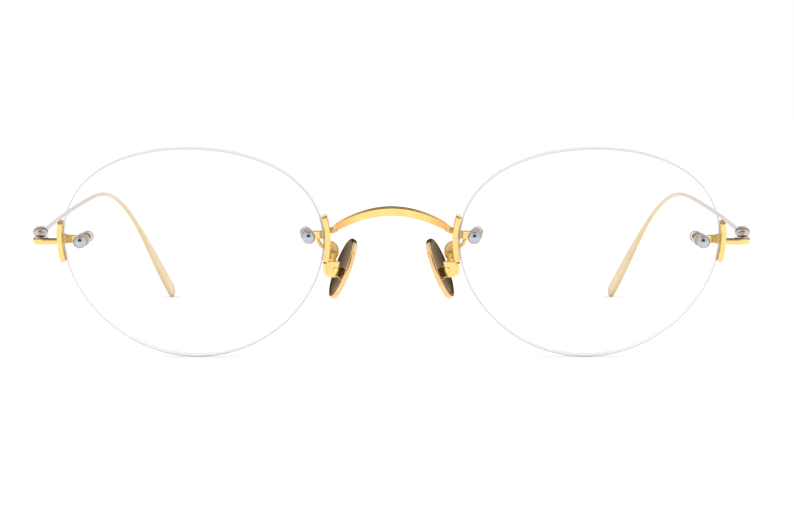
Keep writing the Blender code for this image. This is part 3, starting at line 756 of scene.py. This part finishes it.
def lens_mesh():
    """The meniscus lens: two curved polished faces, a chamfered ground edge and two drilled holes."""
    rim = [outline_point(math.tau * k / OUTLINE_STEPS) for k in range(OUTLINE_STEPS)]
    inner_rim = [p * (1 - LENS_CHAMFER / p.length) for p in rim]

    def face_ring(share, back):
        ring = [p * share for p in inner_rim]
        return [Vector((p.x, p.y, lens_height(p, back))) for p in ring]

    shares = [k / LENS_RINGS for k in range(1, LENS_RINGS + 1)]
    rings = [[Vector((0, 0, 0))]]
    rings += [face_ring(share, False) for share in shares]
    for k in range(LENS_EDGE_STEPS + 1):
        ring = []
        for p in rim:
            front, back = lens_height(p) - LENS_CHAMFER, lens_height(p, True) + LENS_CHAMFER
            ring.append(Vector((p.x, p.y, front + (back - front) * k / LENS_EDGE_STEPS)))
        rings.append(ring)
    rings += [face_ring(share, True) for share in reversed(shares)]
    rings.append([Vector((0, 0, -LENS_THICKNESS))])
    obj = loft("lens", rings, LENS_FRAME)
    for stack in (OUTER_STACK, INNER_STACK):
        bore(obj, LENS_HOLE_RADIUS, -4 * MM, 2 * MM, stack)
    axis = (LENS_FRAME.to_3x3() @ Vector((0, 0, 1))).normalized()
    # The front bevel and the rim with the back bevel take separate materials, so the front can carry painted
    # shade and the rest painted light
    face, front_bevel, rim_and_back_bevel = range(3)
    for polygon in obj.data.polygons:
        facing = polygon.normal.dot(axis)
        if abs(facing) > 0.9:
            polygon.material_index = face
        else:
            polygon.material_index = front_bevel if facing > 0.4 else rim_and_back_bevel
    return obj


def strap_band(angles):
    """A flat bar bent along the lens edge, with both ends rounded off towards the middle of its depth."""
    length = (edge_point(angles[1], 0) - edge_point(angles[0], 0)).length
    end_steps, middle_steps = 9, 24
    ends = [STRAP_ROUND * (1 - math.cos(math.pi / 2 * k / end_steps)) for k in range(end_steps)]
    middle = [STRAP_ROUND + (length - 2 * STRAP_ROUND) * k / middle_steps for k in range(middle_steps + 1)]
    stations = [*ends, *middle, *[length - place for place in reversed(ends)]]
    path = []
    for place in stations:
        angle = angles[0] + (angles[1] - angles[0]) * place / length
        point = edge_point(angle, (STRAP_FIT + STRAP_THICKNESS) / 2)
        path.append(point + Vector((0, 0, (STRAP_FRONT + STRAP_BACK) / 2)))

    def section(i):
        from_end = min(stations[i], length - stations[i], STRAP_ROUND)
        share = math.sqrt(max(1 - (1 - from_end / STRAP_ROUND) ** 2, 0.02))
        thickness = (STRAP_THICKNESS - STRAP_FIT) * (STRAP_END_THICKNESS + (1 - STRAP_END_THICKNESS) * share)
        depth = (STRAP_FRONT - STRAP_BACK) * (STRAP_END_DEPTH + (1 - STRAP_END_DEPTH) * share)
        return thickness / 2, depth / 2, FLAT_BAND

    return sweep("band", path, section, 44, UP, LENS_FRAME)


def strap(stack, side, angles):
    """A band round the lens edge with a tongue behind the lens that ends in an eyelet for the screw."""
    band = strap_band(angles)
    place = LENS_FRAME.inverted() @ stack.translation
    reach = LENS_WIDTH / 2 + STRAP_THICKNESS / 2 - abs(place.x)
    corner = math.degrees(math.asin(TONGUE_HALF_HEIGHT / EYELET_RADIUS))
    flare, flare_end = TONGUE_HALF_HEIGHT * TONGUE_FLARE, reach - TONGUE_FLARE_LENGTH
    outline = [(reach, -flare), (reach, flare), (flare_end, TONGUE_HALF_HEIGHT)]
    outline += arc((0, 0), EYELET_RADIUS, corner, 360 - corner, 44)
    outline.append((flare_end, -TONGUE_HALF_HEIGHT))
    outline = [(side * x, y) for x, y in outline]
    tongue = prism("tongue", outline, TONGUE_BACK, TONGUE_FRONT, stack, soft=TONGUE_EASE)
    combine(band, tongue, "UNION")
    sunk = [
        (0, TONGUE_FRONT + MM), (BUSH_BORE + TONGUE_EASE + MM, TONGUE_FRONT + MM),
        (BUSH_BORE, TONGUE_FRONT - TONGUE_EASE), (BUSH_BORE, TONGUE_BACK - MM), (0, TONGUE_BACK - MM),
    ]
    return combine(band, lathe("drill", sunk, stack, 48), "DIFFERENCE")


def dome_screw(stack):
    """The polished domed screw that shows in front of a lens."""
    ball = (DOME_RADIUS**2 + DOME_HEIGHT**2) / (2 * DOME_HEIGHT)
    low = math.degrees(math.acos((DOME_RADIUS - DOME_RIM) / ball))
    profile = arc((0, SEAT_GAP + DOME_HEIGHT - ball), ball, 90, low, 22)
    profile += [
        (DOME_RADIUS, SEAT_GAP + DOME_RIM), (DOME_RADIUS, SEAT_GAP), (SCREW_RADIUS, SEAT_GAP),
        (SCREW_RADIUS, SCREW_END + SCREW_EASE), (SCREW_RADIUS - SCREW_EASE, SCREW_END), (0, SCREW_END),
    ]
    return lathe("screw", profile, stack)


def lens_bush(stack):
    """The nylon sleeve and washer that keep the metal off the lens."""
    washer_back = TONGUE_FRONT + SEAT_GAP
    profile = rounded([
        (BUSH_RADIUS, -SEAT_GAP, 0.03 * MM), (BUSH_RADIUS, WASHER_FRONT, 0.02 * MM),
        (WASHER_RADIUS, WASHER_FRONT, 0.05 * MM), (WASHER_RADIUS, washer_back, 0.05 * MM),
        (BUSH_BORE, washer_back, 0.02 * MM), (BUSH_BORE, -SEAT_GAP, 0.02 * MM),
    ])
    return lathe("bush", profile, stack)


def lens_nut(stack):
    """A round nut with eased rims and two key slots in its back face."""
    front = TONGUE_BACK - SEAT_GAP
    profile = rounded([
        (NUT_RADIUS, front, 0.2 * MM), (NUT_RADIUS, NUT_BACK, 0.22 * MM),
        (BUSH_BORE, NUT_BACK, 0.05 * MM), (BUSH_BORE, front, 0.05 * MM),
    ])
    nut = lathe("nut", profile, stack)
    floor = NUT_BACK + KEY_SLOT_DEPTH
    return slot_across(nut, NUT_RADIUS * 1.2, KEY_SLOT_HALF_WIDTH, NUT_BACK - MM, floor, stack)


def end_cap(stack):
    """The clear domed cap over the screw's end."""
    front = NUT_BACK - SEAT_GAP
    floor = SCREW_END - 0.1 * MM
    profile = rounded([
        (CAP_RADIUS, front, 0.08 * MM), (CAP_RADIUS, CAP_BACK, 0.62 * MM), (0, CAP_BACK, 0),
        (0, floor, 0), (BUSH_BORE, floor, 0.1 * MM), (BUSH_BORE, front, 0.04 * MM),
    ], steps=10)
    return lathe("cap", profile, stack)


def bridge():
    """An arched bar that bows forwards and turns back at both ends into the inner straps."""
    low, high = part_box("bridge")
    front_y = low.y + BRIDGE_DEPTH / 2
    top_z = high.z - BRIDGE_HEIGHT / 2

    def at(x):
        return Vector((x, front_y + BRIDGE_BOW * x**2, top_z - BRIDGE_ARCH * x**2))

    steps, turn_steps = 34, 7
    half = [at(BRIDGE_HALF_SPAN * k / steps) for k in range(steps + 1)]
    end = half[-1]
    half += smooth_path([end, *[end + Vector(step) for step in BRIDGE_TURN]], turn_steps)[1:]
    path = [Vector((-p.x, p.y, p.z)) for p in reversed(half[1:])] + half

    def section(i):
        outwards = min(abs(path[i].x) / BRIDGE_HALF_SPAN, 1)
        shrink = 1 - BRIDGE_TAPER * outwards**2 - BRIDGE_END_TAPER * outwards**8
        return BRIDGE_DEPTH / 2 * shrink, BRIDGE_HEIGHT / 2 * shrink, SOFT_BAR

    return sweep("bridge", path, section, 52, UP, roll=BAR_ROLL)


def endpiece():
    """A bar from the outer strap that turns back, sinks a little and ends in the lower hinge eyelet."""
    strap_y = (LENS_FRAME.inverted() @ OUTER_STACK.translation).y
    inside_strap = LENS_WIDTH / 2 + STRAP_THICKNESS * 0.8
    start = LENS_FRAME @ Vector((inside_strap, strap_y, (STRAP_FRONT + STRAP_BACK) / 2))
    low_z = EYELET_TOP - BAR_HEIGHT / 2
    start.z = low_z + BAR_RISE
    bar_x = HINGE.x + BAR_OUTSET
    corner = Vector((bar_x - BAR_TURN_RADIUS, start.y + BAR_TURN_RADIUS, start.z))
    steps = 8
    path = [start + Vector(((corner.x - start.x) * k / steps, 0, 0)) for k in range(steps)]
    for degrees in range(-90, 1, 5):
        angle = math.radians(degrees)
        path.append(corner + BAR_TURN_RADIUS * Vector((math.cos(angle), math.sin(angle), 0)))
    turned_y = path[-1].y
    end_y = HINGE.y - KNUCKLE_RADIUS * 0.6
    for k in range(1, steps + 1):
        sinking = BAR_RISE * (1 - smooth(k / 6))
        path.append(Vector((bar_x, turned_y + (end_y - turned_y) * k / steps, low_z + sinking)))

    def section(i):
        swell = 1 + BAR_SWELL * smooth(i / 12)
        return BAR_WIDTH / 2, BAR_HEIGHT / 2 * swell, SOFT_BAR

    bar = sweep("bar", path, section, 44, UP, roll=BAR_ROLL)
    foot = EYELET_TOP - BAR_HEIGHT
    ring = rounded([
        (0, EYELET_TOP, 0), (KNUCKLE_RADIUS, EYELET_TOP, 0.18 * MM),
        (KNUCKLE_RADIUS, foot, 0.25 * MM), (0, foot, 0),
    ])
    combine(bar, lathe("eyelet", ring, HINGE_FRAME), "UNION")
    return bore(bar, HINGE_BORE, foot - MM, EYELET_TOP + MM, HINGE_FRAME)


def hinge_washer():
    """The thin slip washer between the two hinge eyelets."""
    low, high = EYELET_TOP + HINGE_GAP, KNUCKLE_LOW - HINGE_GAP
    radius = KNUCKLE_RADIUS * SLIP_WASHER_SHARE
    profile = rounded([
        (HINGE_BORE, high, SLIP_WASHER_EASE / 2), (radius, high, SLIP_WASHER_EASE),
        (radius, low, SLIP_WASHER_EASE), (HINGE_BORE, low, SLIP_WASHER_EASE / 2),
    ])
    return lathe("washer", profile, HINGE_FRAME)


def slotted_screw(head_radius, seat, shank_radius, foot, place, slot_turn):
    """A small low-head screw with a driver slot."""
    top = seat + HEAD_HEIGHT
    profile = rounded([
        (0, top, 0), (head_radius, top, HEAD_HEIGHT * 0.55), (head_radius, seat, 0.04 * MM),
        (shank_radius, seat, 0), (shank_radius, foot, 0.08 * MM), (0, foot, 0),
    ])
    screw = lathe("screw", profile, place)
    floor = seat + HEAD_HEIGHT * DRIVER_SLOT_FLOOR
    turned = place @ turn(z=slot_turn)
    return slot_across(screw, head_radius * 1.3, DRIVER_SLOT_HALF_WIDTH, floor, top + MM, turned)


def temple_path(stations):
    """The temple's centre line: it rises, bends down smoothly and leans in towards its tip."""
    place = Vector((0, 0, TEMPLE_Z))
    path = []
    inner_steps = 4
    for start, end in zip([0.0, *stations], stations):
        step = (end - start) / inner_steps
        for k in range(inner_steps):
            length = start + (k + 0.5) * step
            pitch = math.radians(TEMPLE_RISE - TEMPLE_BEND * smooth((length - BEND_START) / BEND_LENGTH))
            inwards = BOW_OUT + BOW_IN * min(length, BOW_END) + TIP_IN * max(length - TIP_START, 0)
            flat = math.sqrt(1 - inwards**2)
            place += step * Vector((-inwards, flat * math.cos(pitch), flat * math.sin(pitch)))
        path.append(place.copy())
    return path


def temple():
    """A wire temple that flattens into a paddle, with the barrel-shaped upper hinge knuckle at its front."""
    body_end = TEMPLE_LENGTH - TIP_ROUND
    steps = 190
    stations = [TEMPLE_START + (body_end - TEMPLE_START) * k / steps for k in range(steps + 1)]
    tip_steps = 14
    for k in range(1, tip_steps + 1):
        stations.append(body_end + TIP_ROUND * math.sin(math.pi / 2 * k / tip_steps))
    path = temple_path(stations)

    def section(i):
        flattening = smooth((stations[i] - PADDLE_START) / PADDLE_GROWTH)
        left = TEMPLE_LENGTH - stations[i]
        rounding = math.sqrt(max(1 - max(1 - left / TIP_ROUND, 0) ** 2, 0.004))
        half_width = (WIRE_RADIUS + (PADDLE_HALF_WIDTH - WIRE_RADIUS) * flattening) * math.sqrt(rounding)
        half_height = (WIRE_RADIUS + (PADDLE_HALF_HEIGHT - WIRE_RADIUS) * flattening) * rounding
        return half_width, half_height, ROUND + (FLAT_OVAL - ROUND) * flattening

    obj = sweep("temple", path, section, 32, UP, HINGE_FRAME)
    middle, half = (KNUCKLE_LOW + KNUCKLE_HIGH) / 2, (KNUCKLE_HIGH - KNUCKLE_LOW) / 2
    swell = KNUCKLE_RADIUS - KNUCKLE_FLAT
    side = [(KNUCKLE_FLAT + swell * x, middle + half * y) for x, y in arc((0, 0), 1, -90, 90, 20)]
    barrel = [(0, KNUCKLE_LOW), *side, (0, KNUCKLE_HIGH)]
    combine(obj, lathe("barrel", barrel, HINGE_FRAME), "UNION")
    return bore(obj, HINGE_BORE, KNUCKLE_LOW - MM, KNUCKLE_HIGH + MM, HINGE_FRAME)


def pad_box():
    """The clip that a pad rocks in: a block with one round corner, slotted from below and the nose side."""
    outline = rounded([
        (BOX_NOSE_TOP, BOX_TOP, 0.3 * MM), (BOX_NOSE_FOOT, BOX_FOOT, 0.25 * MM),
        (BOX_OUT, BOX_FOOT, BOX_CORNER), (BOX_OUT, BOX_TOP, 0.5 * MM),
    ], steps=10)
    across = PAD_MOUNT_FRAME @ turn(x=90)
    box = prism("box", outline, -BOX_HALF_WIDTH, BOX_HALF_WIDTH, across, soft=0.2 * MM)
    below = BOX_FOOT - MM
    slot = [(-SLOT_END * 2, below), (SLOT_END, below), (SLOT_END, SLOT_TOP), (-SLOT_END * 2, SLOT_TOP)]
    combine(box, prism("slot", slot, -SLOT_HALF_WIDTH, SLOT_HALF_WIDTH, across), "DIFFERENCE")
    return bore(box, PAD_BORE, -3 * MM, 3 * MM, across)


def pad_arm():
    """The wire from the inner strap's tongue, back and down to the pad's box, thin at its root."""
    root = Vector(ARM_ROOT)
    start = [INNER_STACK @ (root - Vector((0, 0, depth))) for depth in (0, ARM_START)]
    middle = [Vector((x, FRONT_Y + y, z)) for x, y, z in ARM_ROUTE]
    foot = PAD_MOUNT_FRAME @ Vector((ARM_FOOT_X, 0, BOX_TOP - ARM_FOOT_DEPTH))
    path = smooth_path([*start, *middle, foot + Vector((0, 0, ARM_FOOT_LEAD)), foot], 10)

    def section(i):
        growth = smooth((i / len(path) - ARM_GROWTH_START) / ARM_GROWTH_SPAN)
        root_flare = ARM_ROOT_FLARE * (1 - smooth(i / 6))
        radius = ARM_ROOT_RADIUS + (ARM_RADIUS - ARM_ROOT_RADIUS) * growth + root_flare
        return radius, radius, ROUND

    return sweep("arm", path, section, 32)


def nose_pad():
    """An oval metal pad: a dished outer face with a raised rim, a crowned nose face and a lug to rock on."""
    steps = 96
    outer, inner = -PAD_INSET, -PAD_INSET - PAD_THICKNESS
    rim_share = PAD_RIM / (PAD_WIDTH / 2)
    nose_rim = inner + PAD_CROWN
    quarter = [math.radians(15 * k) for k in range(7)]
    layers = [(share, outer - PAD_DISH * (1 - share**2)) for share in (0, 0.2, 0.4, 0.6, 0.75, 0.86)]
    layers += [(1 - rim_share * (1 - math.sin(a)), outer - PAD_RIM * (1 - math.cos(a))) for a in quarter]
    layers += [(1 - rim_share * (1 - math.cos(a)), nose_rim + PAD_RIM * (1 - math.sin(a))) for a in quarter]
    layers += [(share, inner + PAD_CROWN * share**2) for share in (0.86, 0.7, 0.5, 0.25, 0)]
    rings = []
    for share, height in layers:
        turns = [math.tau * k / steps for k in range(steps if share else 1)]
        half_width, half_length = PAD_WIDTH / 2 * share, PAD_LENGTH / 2 * share
        rings.append([
            Vector((height, half_width * math.cos(a), PAD_RISE + half_length * math.sin(a))) for a in turns
        ])
    pad = loft("pad", rings, PAD_FRAME)
    corner = math.degrees(math.asin(LUG_NECK / LUG_RADIUS))
    sunk, raised = outer - LUG_SINK, outer + LUG_FLARE
    lug = [(sunk, LUG_ROOT), (sunk, -LUG_ROOT), (raised, -LUG_NECK - LUG_FLARE)]
    lug += arc((0, 0), LUG_RADIUS, 180 + corner, 540 - corner, 30)
    lug.append((raised, LUG_NECK + LUG_FLARE))
    across = PAD_FRAME @ turn(x=90)
    tab = prism("tab", lug, -LUG_HALF_THICKNESS, LUG_HALF_THICKNESS, across, soft=0.08 * MM, segments=3)
    combine(pad, tab, "UNION")
    return bore(pad, PAD_BORE, -2 * MM, 2 * MM, across)


# ---------------------------------------------------------------- putting pieces in place

def dress(obj, node, materials, body):
    """Names, shades and colours a piece, and ties it to the CAD node and body it stands for."""
    obj.name = obj.data.name = node + "_visual"
    for material in materials:
        obj.data.materials.append(material)
    obj.data.shade_smooth()
    obj.data.set_sharp_from_angle(angle=math.radians(32))
    weighted = obj.modifiers.new("even_normals", "WEIGHTED_NORMAL")
    weighted.keep_sharp = True
    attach(obj, body)
    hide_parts(node)
    return obj


def mirrored(obj):
    """A copy of a finished left mesh, mirrored to the right."""
    mesh = obj.data.copy()
    mesh.transform(Matrix.Scale(-1, 4, (1, 0, 0)))
    mesh.flip_normals()
    other = bpy.data.objects.new(obj.name, mesh)
    bpy.context.scene.collection.objects.link(other)
    return other


def place_pair(obj, node, materials, body):
    """Dresses a left piece and its mirrored right piece. Node and body hold {} for the side."""
    right = mirrored(obj)
    dress(obj, node.format("left"), materials, body.format("left"))
    dress(right, node.format("right"), materials, body.format("right"))


def build_glasses():
    """Makes every piece of the glasses."""
    metal = {name: plated(name, *look) for name, look in PLATINGS.items()}
    warm_ends(metal["bridge_gold"])
    pale = temple_metal()
    glass = clear_coat("lens_glass", LENS_TINT, LENS_GLOSS, LENS_ROUGHNESS, GLASS_IOR)
    clear = clear_coat("clear_plastic", CAP_TINT, 1.0, CAP_ROUGHNESS, CAP_IOR)
    # Two copies of the ground edge: a darker one with painted shade for the front bevel, a lighter one with
    # painted light for the rim and back bevel
    bevel = ground_edge("lens_bevel", FRONT_BEVEL_SHADED_TONES, BEVEL_OPACITY)
    edge = ground_edge("lens_edge", RIM_AND_BACK_BEVEL_LIT_TONES, EDGE_OPACITY)
    nylon = smoky_nylon()
    gold = metal["gold"]

    place_pair(lens_mesh(), "lens_{}", [glass, bevel, edge], "front")
    straps = (("outer", OUTER_STACK, 1, STRAP_OUTER_ANGLES), ("inner", INNER_STACK, -1, STRAP_INNER_ANGLES))
    for end, stack, side, angles in straps:
        place_pair(strap(stack, side, angles), end + "_strap_{}", [gold], "front")
        place_pair(dome_screw(stack), f"lens_screw_{end}_{{}}", [metal["steel"]], "front")
        place_pair(lens_bush(stack), f"lens_bush_{end}_{{}}", [nylon], "front")
        place_pair(lens_nut(stack), f"lens_nut_{end}_{{}}", [metal["nut_plate"]], "front")
        place_pair(end_cap(stack), f"end_cap_{end}_{{}}", [clear], "front")

    place_pair(endpiece(), "endpiece_{}", [gold], "front")
    place_pair(hinge_washer(), "hinge_washer_{}", [clear], "front")
    seat, foot = KNUCKLE_HIGH + HINGE_GAP, EYELET_TOP - BAR_HEIGHT - HINGE_SCREW_PROUD
    hinge_screw = slotted_screw(
        HINGE_SCREW_HEAD, seat, HINGE_SCREW_RADIUS, foot, HINGE_FRAME, HINGE_SLOT_TURN
    )
    place_pair(hinge_screw, "hinge_screw_{}", [metal["rose_plate"]], "front")
    place_pair(temple(), "temple_{}", [pale], "temple_{}")

    place_pair(pad_box(), "pad_box_{}", [gold], "front")
    place_pair(pad_arm(), "pad_arm_{}", [metal["satin_gold"]], "front")
    across = PAD_MOUNT_FRAME @ turn(x=90)
    seat, foot = BOX_HALF_WIDTH + SEAT_GAP, -BOX_HALF_WIDTH - PAD_SCREW_PROUD
    pad_screw = slotted_screw(PAD_SCREW_HEAD, seat, PAD_SCREW_RADIUS, foot, across, PAD_SLOT_TURN)
    place_pair(pad_screw, "pad_screw_{}", [gold], "front")
    place_pair(nose_pad(), "nose_pad_{}", [metal["pad_gold"]], "nose_pad_{}")

    dress(bridge(), "bridge", [metal["bridge_gold"]], "front")


# ---------------------------------------------------------------- studio

def white_floor():
    """A wide white floor that the glasses stand on."""
    bm = bmesh.new()
    bmesh.ops.create_circle(bm, cap_ends=True, radius=FLOOR_RADIUS, segments=96)
    floor = finish_mesh("floor", bm, Matrix())
    material, tree, shader = new_material("floor_paper")
    grain = pattern(tree, 250.0)
    tree.links.new(mottled(tree, grain, PAPER_TONES), shader.inputs["Base Color"])
    shader.inputs["Roughness"].default_value = 0.95
    shader.inputs["Specular IOR Level"].default_value = 0.0
    floor.data.materials.append(material)


def studio_world():
    """White surroundings. The metal mirrors a dark room round the backdrop, a shade and a grey ceiling."""
    world = bpy.data.worlds.new("studio")
    bpy.context.scene.world = world
    world.use_nodes = True
    tree = world.node_tree
    background = tree.nodes["Background"]
    rays = tree.nodes.new("ShaderNodeLightPath")
    direction = tree.nodes.new("ShaderNodeTexCoord").outputs["Generated"]
    split = tree.nodes.new("ShaderNodeSeparateXYZ")
    tree.links.new(direction, split.inputs["Vector"])
    x, y, z = split.outputs

    def product(first, second):
        return calculated(tree, "MULTIPLY", first, second)

    def greater(first, second):
        return calculated(tree, "MAXIMUM", first, second)

    sideways = calculated(tree, "DIVIDE", calculated(tree, "ABSOLUTE", x), greater(y, 0.01))
    off_backdrop = greater(step_up(tree, sideways, *BACKDROP_SIDE), step_up(tree, z, *BACKDROP_TOP))
    before_walls = calculated(tree, "SUBTRACT", 1.0, step_up(tree, sideways, *ROOM_WALLS))
    dark_room = product(step_up(tree, y, *ROOM_FRONT), product(off_backdrop, before_walls))
    deepening = product(step_up(tree, z, *ROOM_DEEPENING_RANGE), ROOM_DEEPENING)
    dark_room = product(dark_room, calculated(tree, "ADD", ROOM_DARKNESS, deepening))

    towards_shade = tree.nodes.new("ShaderNodeVectorMath")
    towards_shade.operation = "DOT_PRODUCT"
    tree.links.new(direction, towards_shade.inputs[0])
    height = math.radians(SHADE_ELEVATION)
    towards_shade.inputs[1].default_value = (0, -math.cos(height), math.sin(height))
    outside, inside = (math.cos(math.radians(angle)) for angle in SHADE_ANGLES)
    shade = product(step_up(tree, towards_shade.outputs["Value"], outside, inside), SHADE_DARKNESS)
    ceiling = product(step_up(tree, z, *CEILING_RANGE), CEILING_DARKNESS)

    dark = greater(greater(dark_room, shade), ceiling)
    level = calculated(tree, "SUBTRACT", 1.0, product(dark, rays.outputs["Is Glossy Ray"]))
    bounced = product(rays.outputs["Is Diffuse Ray"], BOUNCED_LIGHT)
    tree.links.new(calculated(tree, "ADD", level, bounced), background.inputs["Strength"])
    background.inputs["Color"].default_value = (1, 1, 1, 1)


def soft_light(name, place, power):
    """A square softbox aimed at the glasses."""
    data = bpy.data.lights.new(name, "AREA")
    data.size = SOFTBOX_SIZE
    data.energy = power
    light = bpy.data.objects.new(name, data)
    light.location = place
    light.rotation_euler = (-Vector(place)).to_track_quat("-Z", "Y").to_euler()
    light.visible_camera = False
    light.visible_glossy = False
    bpy.context.scene.collection.objects.link(light)


def add_camera():
    """A camera a little above the glasses, straight in front of them."""
    target = Vector((0, FRONT_Y, CAMERA_TARGET_Z))
    pitch = math.radians(CAMERA_PITCH)
    data = bpy.data.cameras.new("camera")
    data.lens = CAMERA_LENS
    data.sensor_width = SENSOR_WIDTH
    data.sensor_fit = "HORIZONTAL"
    data.shift_x = CAMERA_SHIFT
    data.clip_start = 0.01
    camera = bpy.data.objects.new("camera", data)
    camera.location = target + CAMERA_DISTANCE * Vector((0, -math.cos(pitch), math.sin(pitch)))
    camera.rotation_euler = (math.radians(90 - CAMERA_PITCH), 0, 0)
    bpy.context.scene.collection.objects.link(camera)
    bpy.context.scene.camera = camera


build_glasses()
white_floor()
studio_world()
for softbox in SOFTBOXES:
    soft_light(*softbox)
add_camera()
bpy.context.scene.view_settings.view_transform = "Standard"
